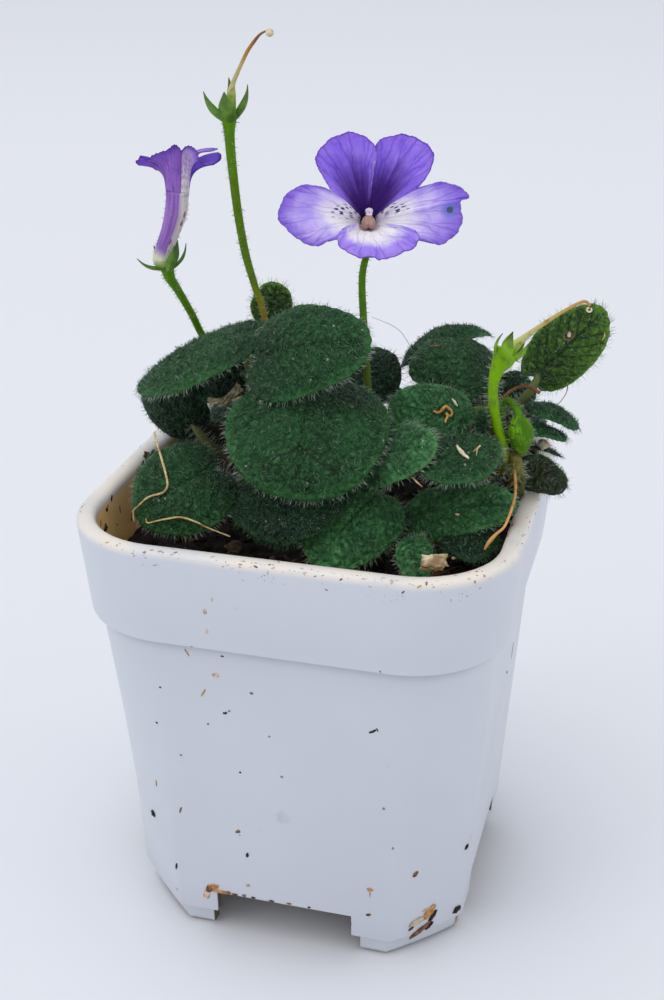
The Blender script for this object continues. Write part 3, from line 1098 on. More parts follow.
DIRT_FINISHES = [
    plain_skin("dried soil", ((0.006, 0.004, 0.003), (0.035, 0.018, 0.01)), 1500.0, 0.9),
    plain_skin("dried mud", ((0.1, 0.04, 0.016), (0.26, 0.12, 0.05)), 1300.0, 0.85),
    plain_skin("amber crumb", ((0.36, 0.15, 0.03), (0.62, 0.33, 0.1)), 1300.0, 0.6),
    plain_skin("beige grain", ((0.42, 0.33, 0.22), (0.62, 0.52, 0.38)), 1300.0, 0.8),
    plain_skin("rusty film", ((0.52, 0.3, 0.17), (0.7, 0.55, 0.45)), 1800.0, 0.5),
]


def on_pot(spot, inside=False):
    """The nearest place on the pot's wall, and the way out of it."""
    away = Vector((spot[0], spot[1], 0.0)).normalized()
    start = Vector(spot) + away * (-12 if inside else 20)
    found, place, out, _ = pot.ray_cast(start * MM + POT_AXIS, away if inside else -away)
    return ((place - POT_AXIS) / MM, out) if found else (None, None)


def stick(spot, long, wide, degrees, kind, inside=False):
    """Stick one crumb or stain on the pot."""
    place, out = on_pot(spot, inside)
    if place is None:
        return
    level = Vector((0, 0, 1)).cross(out).normalized()
    upright = Matrix((level, out.cross(level), out)).transposed().to_quaternion()
    turned = upright @ Quaternion((0, 0, 1), math.radians(degrees))
    thick = FILM_THICKNESS if kind == STAIN else 0.4 * wide
    add_ball(dirt, place + out * thick * 0.3, (long, wide, thick), kind, turned, 0.2, long * 90, 12, 7)


dirt = new_piece()
for dirt_marks, inside in ((POT_DIRT, False), (WALL_DIRT, True)):
    for kind, marks in dirt_marks.items():
        for *spot, long, wide, degrees in marks:
            stick(spot, long, wide, degrees, kind, inside)
for k in range(RIM_STAINS):
    place = rng.uniform(-28, 28)
    side = k % 4
    spot = ((place, -34.9), (34.9, place), (place, 34.9), (-34.9, place))[side if k % 3 else 0]
    height = POT_HEIGHT - 0.06 - 0.7 * rng.random() ** 2 - (2.4 * rng.random() if k % 9 == 0 else 0.0)
    size = 0.06 * 4 ** (rng.random() ** 2)
    stick((*spot, height), size * 1.6, size * 0.6, rng.normal(0, 25),
        (STAIN, AMBER, STAIN, MUD)[k // 4 % 4])
finish_piece(dirt, "dirt_on_the_pot", DIRT_FINISHES, "soil")


# ------------------------------------------------------------------ the open flower
# One violet flower faces the front on a thin stalk. Its five petals are joined in a tube: two dark-throated
# ones stand up, two pale-footed ones spread to the sides, and a short lip rolls forward below.

MAIN_FOOT = Vector((3.5, 11.5, 109.0))
MAIN_MOUTH = Vector((7.0, -3.0, 116.5))
MAIN_UP = Vector((-0.116, 0.437, 0.899))
THROAT_CENTRE = (0.05, 1.75, -5.0)
THROAT_RADIUS = 1.3
PETAL_HALF_THICKNESS = 0.11

# Each petal's edge, from the notch on its upper or left side round to its other notch, as distances to the
# right, up and forward of the middle of the mouth. And the part of the throat that it grows from, in
# degrees from the top, clockwise.
MAIN_PETALS = {
    "upper left": ([(-5.6, 5.4, 0.2), (-7.2, 8.2, -0.2), (-7.9, 10.1, -0.6), (-7.3, 11.7, -0.9),
        (-5.5, 13.5, -1.1), (-2.6, 14.4, -1.0), (-0.2, 13.4, -0.5), (1.0, 12.0, 0.1), (1.35, 10.7, 0.5),
        (0.85, 9.2, 0.3)], (-62, 4)),
    "upper right": ([(0.55, 9.1, 0.0), (0.75, 10.8, -0.6), (1.15, 12.2, -0.8), (2.1, 13.3, -0.9),
        (4.9, 14.1, -1.2), (6.6, 13.8, -1.2), (8.5, 12.8, -1.0), (9.7, 11.5, -0.8), (9.9, 9.8, -0.5),
        (8.8, 7.2, -0.1), (7.4, 5.5, 0.2)], (-4, 62)),
    "left side": ([(-5.7, 5.4, 0.0), (-7.5, 5.9, 0.1), (-9.3, 6.15, 0.0), (-11.2, 5.6, -0.3),
        (-12.6, 4.4, -0.6), (-13.2, 3.0, -0.7), (-13.6, 1.4, -0.8), (-13.0, 0.4, -0.6), (-11.6, -1.1, -0.4),
        (-10.1, -2.3, -0.3), (-8.5, -3.05, -0.2), (-7.2, -3.1, 0.0), (-6.2, -2.6, 0.3), (-4.6, -2.3, 0.6)],
        (-58, -130)),
    "right side": ([(7.4, 5.5, 0.0), (9.1, 6.05, 0.1), (11.1, 6.45, 0.1), (12.9, 6.05, 0.0),
        (14.4, 5.35, -0.1), (15.15, 4.2, -0.2), (13.9, 3.5, 0.3), (14.05, 2.2, -0.3), (14.2, 0.6, -0.5),
        (13.5, -1.0, -0.6), (12.3, -2.15, -0.5), (10.9, -2.95, -0.3), (9.5, -2.75, 0.0), (7.5, -2.4, 0.4)],
        (58, 130)),
    "lip": ([(-2.6, -1.3, 1.1), (-3.1, -0.85, 1.5), (-3.85, -1.25, 2.2), (-4.5, -2.4, 2.6),
        (-4.2, -3.7, 2.7), (-2.8, -4.9, 3.0), (-1.0, -5.6, 3.2), (0.8, -5.6, 3.4), (1.85, -5.95, 3.2),
        (3.0, -5.75, 3.3), (5.2, -4.9, 3.0), (6.8, -4.1, 2.7), (7.45, -3.2, 2.5), (7.65, -2.2, 2.2),
        (7.05, -1.3, 1.8), (6.2, -0.85, 1.3), (5.0, -1.1, 1.0)], (-124, -236)),
}


main_ahead = (MAIN_MOUTH - MAIN_FOOT).normalized()
main_upright = (MAIN_UP - MAIN_UP.dot(main_ahead) * main_ahead).normalized()
MAIN_AXES = np.array((main_upright.cross(main_ahead), main_upright, main_ahead))


def at_mouth(places):
    """Places given right, up and forward of the open flower's mouth, as millimetres from the pot's axis."""
    return np.asarray(places, float) @ MAIN_AXES + np.array(MAIN_MOUTH)


def add_sheet(piece, grid, half, finishes, along=0.0, across=0.0, edge=0.0):
    """A thin closed sheet over a grid of points: its upper skin, its under skin and its four edges."""
    shape = grid.shape[:2]
    count = shape[0] * shape[1]
    out = unit(np.cross(np.gradient(grid, axis=1), np.gradient(grid, axis=0)))
    out = out * np.broadcast_to(half, shape)[:, :, None]
    place = np.arange(count).reshape(shape)
    corners = (place[:-1, :-1], place[:-1, 1:], place[1:, 1:], place[1:, :-1])
    upper = np.stack(corners, axis=-1).reshape(-1, 4).tolist()
    border = np.concatenate((place[0], place[1:, -1], place[-1, -2::-1], place[-2:0:-1, 0])).tolist()
    rim = [(b, a, a + count, b + count) for a, b in zip(border, border[1:] + border[:1])]
    marks = [np.tile(np.broadcast_to(mark, shape).ravel(), 2) for mark in (along, across, edge)]
    add_skin(piece, np.stack((grid + out, grid - out)), upper + rim + under_faces(upper, count),
        [finishes[0]] * len(upper + rim) + [finishes[1]] * len(upper), *marks)


def crinkle(share, seed):
    """A small uneven wave along a petal's edge."""
    return (np.sin(2 * math.pi * 9.3 * share + seed) + 0.7 * np.sin(2 * math.pi * 17.1 * share + 2.1 * seed)
        + 0.5 * np.sin(2 * math.pi * 31.7 * share + 0.7 * seed))


def add_petal(piece, edge_points, sector, finishes, seed, open_up=3.2, columns=84, rings=24, ruffle=0.16):
    """One petal: rays from its part of the throat out to its edge, first steep and then spread flat."""
    start, end = sector
    rim = smooth_row(edge_points, columns)
    share = np.linspace(0, 1, columns)
    turn = np.radians(start + (end - start) * share)
    circle = np.stack((np.sin(turn), np.cos(turn), np.zeros(columns)), axis=1)
    foot = np.array(THROAT_CENTRE) + THROAT_RADIUS * circle
    out_way = unit((rim - foot) * (1, 1, 0))
    ends = np.sin(math.pi * share) ** 0.3
    rim = rim + out_way * (0.065 * crinkle(share, seed) * ends)[:, None]
    s = (np.linspace(0, 1, rings) ** 0.9)[:, None]
    flat = foot[None, :, :2] * (1 - s[:, :, None]) + rim[None, :, :2] * s[:, :, None]
    rise = 1 - (1 - s) ** open_up
    high = foot[None, :, 2] + (rim[None, :, 2] - foot[None, :, 2]) * rise
    slow = np.cos(2 * math.pi * 2.5 * share + seed) * 0.12
    fold = slow + np.cos(2 * math.pi * 5.5 * share + 2 * seed) * 0.07
    high = high + fold[None, :] * np.sin(math.pi * np.minimum(1, s * 1.05))
    high = high + (ruffle * crinkle(share, seed + 1.7))[None, :] * s ** 6
    grid = at_mouth(np.dstack((flat, high)))
    half = PETAL_HALF_THICKNESS * (1 - 0.45 * s ** 6)
    add_sheet(piece, grid[:, ::-1] if end < start else grid, half, finishes, s,
        (2 * share - 1)[None, ::-1 if end < start else 1], s)


VEIN_TINT = (0.45, 0.27, 0.68)


def flat_cells(skin, x, wide, y, long, feature="DISTANCE_TO_EDGE", randomness=1.0):
    """Cells drawn over two marks of a part: how far it is to the nearest line between them, or middle."""
    spot = skin.node("CombineXYZ", {"X": skin.times(x, wide), "Y": skin.times(y, long)}).outputs[0]
    return skin.node("TexVoronoi", {"Vector": spot, "Scale": 1.0, "Randomness": randomness},
        feature=feature, voronoi_dimensions="2D").outputs["Distance"]


def petal_skin(name, body, light, pale=None, pale_reach=None, deep_reach=None, dashes=None,
        vein_strength=0.5, tip=None, bruise=None, deep=None):
    """Thin petal skin: cloudy violet with darker branching veins, a pale or a dark foot, and a dark rim."""
    skin = Skin(name)
    deep = deep or THROAT_PURPLE
    along, across, edge = (skin.mark(mark) for mark in ("along", "across", "edge"))
    skin.colour = skin.mix(skin.patches(260.0, 0.5, 0.22), body, light)
    drift = skin.minus(skin.noise(420.0), 0.5)
    reach = skin.plus(along, skin.times(drift, 0.3))
    if tip:
        skin.tint(tip, skin.between(reach, 0.58, 1.05))
    sway = skin.plus(across, skin.times(drift, 0.14))
    veins = [skin.times(skin.between(flat_cells(skin, sway, wide, along, long), thin * 2.2, 0.0), strength)
        for wide, long, thin, strength in ((4.6, 0.9, 0.034, 1.0), (9.0, 3.0, 0.045, 0.4))]
    veins = skin.sum("MAXIMUM", *veins)
    if pale_reach:
        skin.tint(pale, skin.between(reach, pale_reach[1], pale_reach[0]))
    skin.tint(skin.mix(1.0, skin.colour, VEIN_TINT, "MULTIPLY"), veins, vein_strength)
    if deep_reach:
        lines = {"W": skin.times(across, 7.0), "Scale": 1.0, "Detail": 3.0}
        streaks = skin.node("TexNoise", lines, noise_dimensions="1D").outputs["Fac"]
        middle = skin.times(skin.sum("ABSOLUTE", across), 0.16)
        where = skin.minus(skin.plus(reach, middle), skin.times(skin.minus(streaks, 0.5), 0.45))
        skin.tint(deep, skin.between(where, deep_reach[1], deep_reach[0]))
    if dashes:
        left, right, end = dashes
        mark = skin.between(flat_cells(skin, across, 6.5, along, 9.5, "F1", 0.6), 0.3, 0.22)
        near = skin.times(skin.between(along, 0.06, 0.1), skin.between(reach, end, end - 0.1))
        here = skin.times(skin.between(across, left, left + 0.05), skin.between(across, right, right - 0.2))
        skin.tint(deep, mark, skin.times(near, here))
    if bruise:
        away = skin.node("VectorMath", {0: skin.place, 1: bruise}, operation="DISTANCE").outputs["Value"]
        skin.tint((0.13, 0.2, 0.62), skin.between(away, 0.0017, 0.0005), 0.75)
        skin.tint((0.07, 0.1, 0.1), skin.between(away, 0.00058, 0.0004))
    rim = skin.node("HueSaturation", {"Color": body, "Saturation": 1.2, "Value": 0.55}).outputs["Color"]
    skin.tint(rim, skin.between(edge, 0.965, 0.995), 0.8)
    relief = skin.minus(skin.times(skin.noise(2600.0), 0.35), veins)
    return skin.finish(0.55, relief, 0.35, 0.0002, (0.25, 0.0006, 0.0004, 0.001), 0.3, Weight=0.08)


def add_hollow_tube(piece, row, radii, finishes, wall=0.2, sides=32, flute=0.0):
    """An open tube with an outer and an inner skin."""
    row = np.asarray(row, float)
    share, radius, turn, ring = rings_along(row, radii, sides)
    wave = 1 + flute * np.cos(5 * turn)[None, :] * share[:, None]
    points = [row[:, None, :] + ring * ((radius[:, None] - size) * wave)[:, :, None]
        for size in (0.0, wall)]
    count = len(row) * sides
    outside = ring_faces(len(row), sides)
    foot = list(range(sides))
    rims = []
    for a, b in zip(foot, foot[1:] + foot[:1]):
        high = count - sides
        rims += [(high + a, high + b, count + high + b, count + high + a), (b, a, count + a, count + b)]
    add_skin(piece, points, outside + under_faces(outside, count) + rims, [finishes[0]] * len(outside)
        + [finishes[1]] * len(outside) + [finishes[1], finishes[0]] * sides,
        np.tile(np.repeat(share, sides), 2), np.tile(turn / (2 * math.pi), 2 * len(row)))


VIOLET = (0.22, 0.11, 0.7)
LIGHT_VIOLET = (0.33, 0.2, 0.84)
LILAC = (0.46, 0.35, 0.95)
LIGHT_LILAC = (0.7, 0.61, 1.0)
MILK_WHITE = (1.0, 0.97, 1.0)
THROAT_PURPLE = (0.05, 0.005, 0.17)
UPPER_PETAL = petal_skin("upper petal", VIOLET, LIGHT_VIOLET, deep_reach=(0.28, 0.86), vein_strength=0.6)


BRUISE_PLACE = at_mouth((12.3, 2.3, -0.2)) * MM + np.array(POT_AXIS)
SIDE_PETAL = petal_skin("side petal", LILAC, LIGHT_LILAC, MILK_WHITE, (0.3, 0.66), dashes=(-0.96, 0.0, 0.4),
    vein_strength=0.45, tip=VIOLET, bruise=tuple(BRUISE_PLACE))
LIP_PETAL = petal_skin("lip petal", (0.32, 0.19, 0.86), (0.44, 0.31, 0.93), MILK_WHITE, (0.42, 0.8),
    vein_strength=0.45)
PETAL_BACK = petal_skin("back of a petal", LILAC, LIGHT_LILAC, MILK_WHITE, (0.0, 0.5), vein_strength=0.35)
THROAT_INSIDE = petal_skin("inside of the tube", THROAT_PURPLE, THROAT_PURPLE, deep_reach=(0.2, 0.3))

petals = new_piece()
FINISH_OF_PETAL = {"upper left": 0, "upper right": 0, "left side": 1, "right side": 1, "lip": 2}
for number, (petal_name, (edge_points, sector)) in enumerate(MAIN_PETALS.items()):
    add_petal(petals, edge_points, sector, (FINISH_OF_PETAL[petal_name], 3), 1.3 * number + 0.4,
        2.2 if petal_name == "lip" else 3.2)
tube_row = smooth_row(at_mouth([(0, 0, -15.1), (0, 0.3, -11.5), (0, 1.2, -8.0), THROAT_CENTRE]), 18)
add_hollow_tube(petals, tube_row, (1.0, 1.5, 1.75, 1.95), (3, 4))
finish_piece(petals, "main_flower_petals", [UPPER_PETAL, SIDE_PETAL, LIP_PETAL, PETAL_BACK, THROAT_INSIDE],
    "petal", "flower_main")


STIGMA_SKIN = plain_skin("stigma", ((0.62, 0.5, 0.72), (0.78, 0.68, 0.82)), 1500.0, 0.35, 0.0002, 0.2)
STIGMA_PIT = plain_skin("stigma pit", ((0.1, 0.03, 0.16), (0.16, 0.06, 0.22)), 1500.0)
ANTHER_SKIN = plain_skin("anthers", ((0.35, 0.2, 0.15), (0.5, 0.34, 0.26), (0.34, 0.14, 0.19)), 900.0)
pistil = new_piece()
add_stalk(pistil, smooth_row(at_mouth([(0, 0, -15.0), (0.1, 1.9, -6.0), (0.2, 2.3, -1.9)]), 12),
    (0.3, 0.28), 8, 0)
add_ball(pistil, at_mouth((0.22, 2.55, -1.7)), (0.6, 0.5, 0.45), 0, None, 0.06, 1)
add_ball(pistil, at_mouth((0.22, 2.0, -1.5)), (0.52, 0.45, 0.42), 0, None, 0.06, 2)
add_ball(pistil, at_mouth((0.26, 2.12, -1.12)), (0.12, 0.12, 0.12), 1)
finish_piece(pistil, "main_pistil", [STIGMA_SKIN, STIGMA_PIT], "flower_centre", "pistil_main")
anthers = new_piece()
for k in range(4):
    angle = math.pi / 4 + k * math.pi / 2
    low = at_mouth((0.12 + 0.8 * math.cos(angle), 0.5 + 0.38 * math.sin(angle), -2.5))
    high = at_mouth((0.12 + 0.22 * math.cos(angle), 1.25 + 0.16 * math.sin(angle), -1.5))
    lean = Vector(high - low).to_track_quat("Z", "Y")
    add_ball(anthers, (low + high) / 2, (0.68, 0.6, 1.1), 0, lean, 0.05, k)
    add_stalk(anthers, smooth_row([at_mouth((0, 0.2, -12.0)), at_mouth((0, 0.6, -6.0)), low], 8),
        (0.2, 0.2), 6, 0)
finish_piece(anthers, "main_anthers", [ANTHER_SKIN], "flower_centre", "anthers_main")


# ------------------------------------------------------------------ the flower stalks and their green cups
# Every flower has its own round green stalk, thinly haired, which widens into a green cup with five pointed
# lobes. The cups stay on the plant after the petals have dropped.

def stem_point(name, z):
    """The point of a stem's axis at a height."""
    row = stem_row(name)
    return Vector((np.interp(z, row[:, 2], row[:, 0]), np.interp(z, row[:, 2], row[:, 1]), z))


def add_sepal(piece, base, tip, face, width, finishes, cup=0.25, bulge=0.15, point=0.8, columns=13,
        rings=18, half=0.16):
    """A small pointed green lobe from its base to its tip, hollow on the side that it faces."""
    base, tip, face = (np.array(part, float) for part in (base, tip, face))
    ahead = tip - base
    length = np.linalg.norm(ahead)
    ahead = ahead / length
    up = unit(face - face.dot(ahead) * ahead)
    side = np.cross(up, ahead)
    s = np.linspace(0, 1, rings)[:, None]
    t = np.linspace(-1, 1, columns)[None, :]
    wide = width / 2 * (0.62 + 0.38 * np.sin(math.pi * np.minimum(1, s * 1.15))) * (1 - s ** 2.6) ** point
    wide = np.maximum(wide, 0.02)
    lift = bulge * length * np.sin(math.pi * s) * -1 + cup * wide * t ** 2 * 2
    grid = (base + ahead * (s * length)[:, :, None] + side * (wide * t)[:, :, None] + up
        * (lift + 0 * t)[:, :, None])
    add_sheet(piece, grid, half * (1 - 0.6 * s), finishes, s + 0 * t, t + 0 * s, np.abs(t) + 0 * s)


def stalk_and_cup(name, node, row_points, radii, sepals, slot, skin, rng_seed, hair_length=0.5, per_mm=9,
        sides=14, cup_skin=None):
    """A flower stalk with its cup, as one piece. Each lobe has a foot, a tip, a way to face and a width."""
    rng = np.random.default_rng(rng_seed)
    piece = new_piece()
    row = smooth_row(row_points, 40)
    add_stalk(piece, row, radii, sides, 0, 0.03, rng_seed)
    for base, tip, face, width in sepals:
        add_sepal(piece, base, tip, face, width, (1, 1))
    hairs_round_stalk(piece, row, radii, per_mm, hair_length, 2, rng)
    finish_piece(piece, name, [skin, cup_skin or CUP_GREEN, WHITE_HAIR], slot, node)


BRIGHT_STALK = stalk_skin("flower stalk", (0.08, 0.12, 0.01), (0.085, 0.22, 0.001), (0.1, 0.28, 0.001))
CUP_GREEN = plain_skin("green cup", ((0.055, 0.15, 0.006), (0.12, 0.27, 0.012), (0.055, 0.13, 0.01)), 500.0,
    0.45, 0.0002, 0.15)


def ring_of_sepals(foot, ahead, up, radius, reach, lean, width, turn=0.0):
    """Five equal lobes round a flower's foot."""
    ahead = Vector(ahead).normalized()
    upright = (Vector(up) - Vector(up).dot(ahead) * ahead).normalized()
    other = ahead.cross(upright)
    lobes = []
    for k in range(5):
        angle = math.radians(turn + 72 * k)
        out = upright * math.cos(angle) + other * math.sin(angle)
        base = Vector(foot) + out * radius
        lobes.append((base, base + ahead * lean + out * reach, -out, width))
    return lobes


main_stem = stem_point("stem_middle", 86.5)
main_stalk_row = [main_stem + Vector((0, 0.4, 0.2)), (3.9, 8.0, 96.5), (2.6, 11.5, 104.0),
    MAIN_FOOT - main_ahead, MAIN_FOOT + main_ahead * 0.6, MAIN_FOOT + main_ahead * 1.3]
main_lobes = ring_of_sepals(MAIN_FOOT + main_ahead * 0.8, main_ahead, MAIN_UP, 0.9, 1.3, 4.4, 2.0)
stalk_and_cup("main_flower_stalk", "flower_stalk_main", main_stalk_row,
    (0.62, 0.62, 0.6, 0.58, 0.56, 0.6, 0.75, 1.05), main_lobes, "flower_stalk", BRIGHT_STALK, 61)


# ------------------------------------------------------------------ the flower at the left
# This one is seen from its side: a slender tube, violet on one side and white with purple dots on the
# other, yellow-green at its foot, and five ruffled petals that face up and away.

LEFT_MOUTH = Vector((-26.3, 5.5, 119.9))
LEFT_SIDE = Vector((0.97, 0.26, 0.0))
LEFT_UP = Vector((-0.11, 0.4, 0.91))
LEFT_TUBE = [(-28.9, 5.0, 105.2), (-29.55, 5.0, 106.6), (-28.75, 5.0, 109.0), (-27.6, 4.8, 111.7),
    (-26.6, 4.8, 114.8), (-26.3, 5.02, 118.0)]
LEFT_TUBE_RADII = (0.85, 1.5, 1.45, 1.55, 1.84, 1.8)
# The petals' edges, to the right, up and forward of the mouth, and the part of the mouth they grow from.
LEFT_PETALS = {
    "left": ([(-4.4, 2.6, 1.6), (-5.0, 2.75, 1.2), (-5.9, 3.3, 0.9), (-6.2, 2.8, 0.6), (-6.7, 2.6, 0.2),
        (-6.3, 2.2, -0.3), (-4.6, 2.1, -1.0), (-3.6, 1.6, -1.4), (-3.3, 2.2, -2.2)], (-118, -42)),
    "front left": ([(0.95, 3.6, 2.2), (0.4, 4.3, 2.6), (-0.1, 4.6, 2.9), (-0.5, 4.4, 3.1),
        (-1.3, 3.75, 3.1), (-2.8, 3.35, 2.7), (-3.8, 3.05, 2.2), (-4.6, 2.6, 1.6)], (-202, -118)),
    "front right": ([(3.3, 2.3, 0.0), (3.4, 2.9, 0.4), (3.3, 3.6, 0.9), (2.9, 4.3, 1.3), (2.2, 4.65, 1.8),
        (1.5, 4.5, 2.1), (0.85, 3.8, 2.2)], (-266, -202)),
    "right": ([(2.9, 3.7, -1.6), (4.6, 3.5, -1.6), (5.6, 3.95, -1.2), (6.6, 4.2, -0.6), (6.95, 3.5, 0.0),
        (6.8, 2.8, 0.5), (5.9, 2.05, 0.9), (4.7, 1.85, 1.0), (4.0, 2.1, 0.8), (3.4, 2.6, 0.3)], (20, 94)),
    "back": ([(-3.2, 2.6, -2.2), (-2.4, 4.0, -3.0), (0.2, 4.5, -3.8), (2.5, 4.4, -3.2), (4.2, 5.2, -2.7),
        (5.6, 5.4, -2.5), (6.2, 5.25, -2.4), (5.3, 4.85, -2.0), (3.0, 4.5, -1.6)], (-42, 20)),
}


def left_tube_skin():
    """The flower tube seen from outside: violet, with one white spotted side and a yellow-green foot."""
    skin = Skin("flower tube")
    along, round_ = skin.mark("along"), skin.mark("across")
    spot = skin.node("CombineXYZ", {"X": skin.times(round_, 30.0), "Y": skin.times(along, 2.2)}).outputs[0]
    streak = skin.node("TexNoise", {"Vector": spot, "Scale": 1.0, "Detail": 3.0}).outputs["Fac"]
    shade = skin.between(streak, 0.35, 0.65)
    violet = skin.mix(shade, (0.2, 0.075, 0.4), (0.36, 0.17, 0.58))
    skin.colour = skin.mix(shade, (0.62, 0.52, 0.58), (0.8, 0.74, 0.76))
    skin.place = skin.node("VectorMath", {0: skin.place, 1: (1, 1, 0.45)}, operation="MULTIPLY").outputs[0]
    skin.tint((0.2, 0.08, 0.2), skin.grains(1100.0, 0.34, 0.42), skin.between(along, 0.3, 0.4))
    wobble = skin.times(skin.minus(streak, 0.5), 0.03)
    away = skin.sum("ABSOLUTE", skin.minus(skin.plus(round_, wobble), WHITE_SIDE))
    away = skin.sum("MINIMUM", away, skin.minus(1.0, away))
    skin.colour = skin.mix(skin.between(away, 0.175, 0.145), violet, skin.colour)
    foot = skin.plus(along, skin.times(streak, 0.1))
    skin.tint((0.76, 0.78, 0.58), skin.between(foot, 0.44, 0.28))
    skin.tint((0.5, 0.64, 0.14), skin.between(foot, 0.27, 0.12))
    return skin.finish(0.5, streak, 0.4, 0.0003, (0.25, 0.0006, 0.0004, 0.001))


_, tube_side, tube_other = stalk_frame(smooth_row(LEFT_TUBE, 40))
white_way = np.array((0.99, 0.03, 0.0))
WHITE_SIDE = math.atan2(white_way @ tube_other[24], white_way @ tube_side[24]) / (2 * math.pi) % 1.0
LEFT_TUBE_SKIN = left_tube_skin()
DARK_FACE = petal_skin("dark petal face", (0.1, 0.035, 0.42), (0.15, 0.06, 0.52))
PALE_OUTSIDE = petal_skin("pale petal outside", (0.48, 0.33, 0.68), (0.66, 0.54, 0.76), (0.78, 0.71, 0.76),
    (0.0, 0.55), dashes=(-1.2, 1.6, 0.7), vein_strength=0.4, tip=VIOLET, deep=(0.38, 0.2, 0.42))
VIOLET_OUTSIDE = petal_skin("violet petal outside", (0.2, 0.075, 0.41), (0.37, 0.18, 0.62),
    vein_strength=0.8, tip=(0.19, 0.08, 0.58))
left_toward = LEFT_SIDE.cross(LEFT_UP).normalized()
left_rows = np.array((LEFT_SIDE.normalized(), LEFT_UP.normalized(), left_toward))
left_petals = new_piece()
add_hollow_tube(left_petals, smooth_row(LEFT_TUBE, 40), LEFT_TUBE_RADII, (0, 1), 0.18, 40, 0.035)


MOUTH_RADIUS = 1.85
MOUTH_FOOT = (-0.12, -2.54, -0.71)


def add_mouth_petal(piece, edge_points, sector, finishes, seed, columns=56, rings=18):
    """One petal that grows from the rim of an upright tube and flares outwards and up."""
    rim = smooth_row(edge_points, columns)
    share = np.linspace(0, 1, columns)
    turn = np.radians(sector[0] + (sector[1] - sector[0]) * share)
    foot = np.array(MOUTH_FOOT) + MOUTH_RADIUS * np.stack((np.sin(turn), 0.415 * np.cos(turn),
        -0.915 * np.cos(turn)), axis=1)
    s = np.linspace(0, 1, rings)[:, None]
    climb = np.array((0.0, 1.0, 0.0))
    outward = unit((rim - foot) * (1, 0, 1))
    reach = np.linalg.norm((rim - foot) * (1, 0, 1), axis=1)
    height = rim[:, 1] - foot[:, 1]
    flare = s ** 2.6
    grid = (foot[None] + outward[None] * (reach[None] * flare)[:, :, None] + climb
        * (height[None] * np.sin(0.5 * math.pi * s) ** 0.9)[:, :, None])
    wave = 0.1 * np.cos(2 * math.pi * 3.5 * share + seed)[None, :] * np.sin(math.pi * s)
    wave = wave + (0.05 * crinkle(share, seed))[None, :] * s ** 5
    grid = grid + climb * wave[:, :, None] + outward[None] * (0.8 * wave)[:, :, None]
    grid = grid @ left_rows + np.array(LEFT_MOUTH)
    half = (0.02 + 0.09 * np.minimum(1, 4 * s)) * (1 - 0.4 * s ** 6)
    add_sheet(piece, grid, half, finishes, s, (2 * share - 1)[None, :], s)


PETAL_FINISHES = {
    "left": (3, 4),
    "front left": (1, 4),
    "front right": (1, 5),
    "right": (3, 3),
    "back": (5, 5),
}
for number, (petal_name, (edge_points, sector)) in enumerate(LEFT_PETALS.items()):
    add_mouth_petal(left_petals, edge_points, sector, PETAL_FINISHES[petal_name], 0.9 * number + 0.3)
hairs_round_stalk(left_petals, smooth_row(LEFT_TUBE, 40), LEFT_TUBE_RADII, 10, 0.4, 6,
    np.random.default_rng(77))
finish_piece(left_petals, "left_flower_petals", [LEFT_TUBE_SKIN, THROAT_INSIDE, PETAL_BACK, DARK_FACE,
    VIOLET_OUTSIDE, PALE_OUTSIDE, WHITE_HAIR], "petal", "flower_left")
left_pistil = new_piece()
add_stalk(left_pistil, smooth_row([LEFT_TUBE[0], LEFT_TUBE[2], LEFT_TUBE[4]], 14), (0.5, 0.3, 0.25), 8, 0)
add_ball(left_pistil, LEFT_TUBE[4], (0.45, 0.45, 0.4), 0, None, 0.05, 3)
finish_piece(left_pistil, "left_pistil", [STIGMA_SKIN], "flower_centre", "pistil_left")

left_stem = stem_point("stem_left", 84.0)
left_stalk_row = [left_stem + Vector((-1.3, 1.4, 0)), (-19.2, 11.6, 86.5), (-24.6, 11.2, 91.2),
    (-26.1, 9.0, 96.26), (-27.55, 6.6, 101.16), (-28.38, 5.5, 103.4), (-28.7, 5.0, 105.4)]
left_lobes = [
    ((-28.9, 4.2, 105.2), (-32.4, 1.6, 107.4), (0, 0.1, 1), 1.7),
    ((-28.0, 4.0, 105.0), (-26.3, 2.7, 109.7), (-0.3, 1, 0), 1.35),
    ((-27.6, 5.2, 105.2), (-25.7, 6.4, 109.2), (-1, -0.2, 0.3), 1.5),
    ((-28.4, 6.0, 105.2), (-28.0, 8.6, 109.0), (0, -1, 0.2), 1.6),
    ((-29.2, 5.5, 105.2), (-32.0, 8.0, 108.0), (0.6, -0.8, 0.4), 1.5),
]
stalk_and_cup("left_flower_stalk", "flower_stalk_left", left_stalk_row,
    (0.66, 0.66, 0.62, 0.62, 0.68, 0.85, 1.15), left_lobes, "flower_stalk", BRIGHT_STALK, 62)


# ------------------------------------------------------------------ the tall seed head
# The tallest stalk has lost its flower. Its cup holds a green seed pod, which ends in the dry brown style
# with a pale round knob.

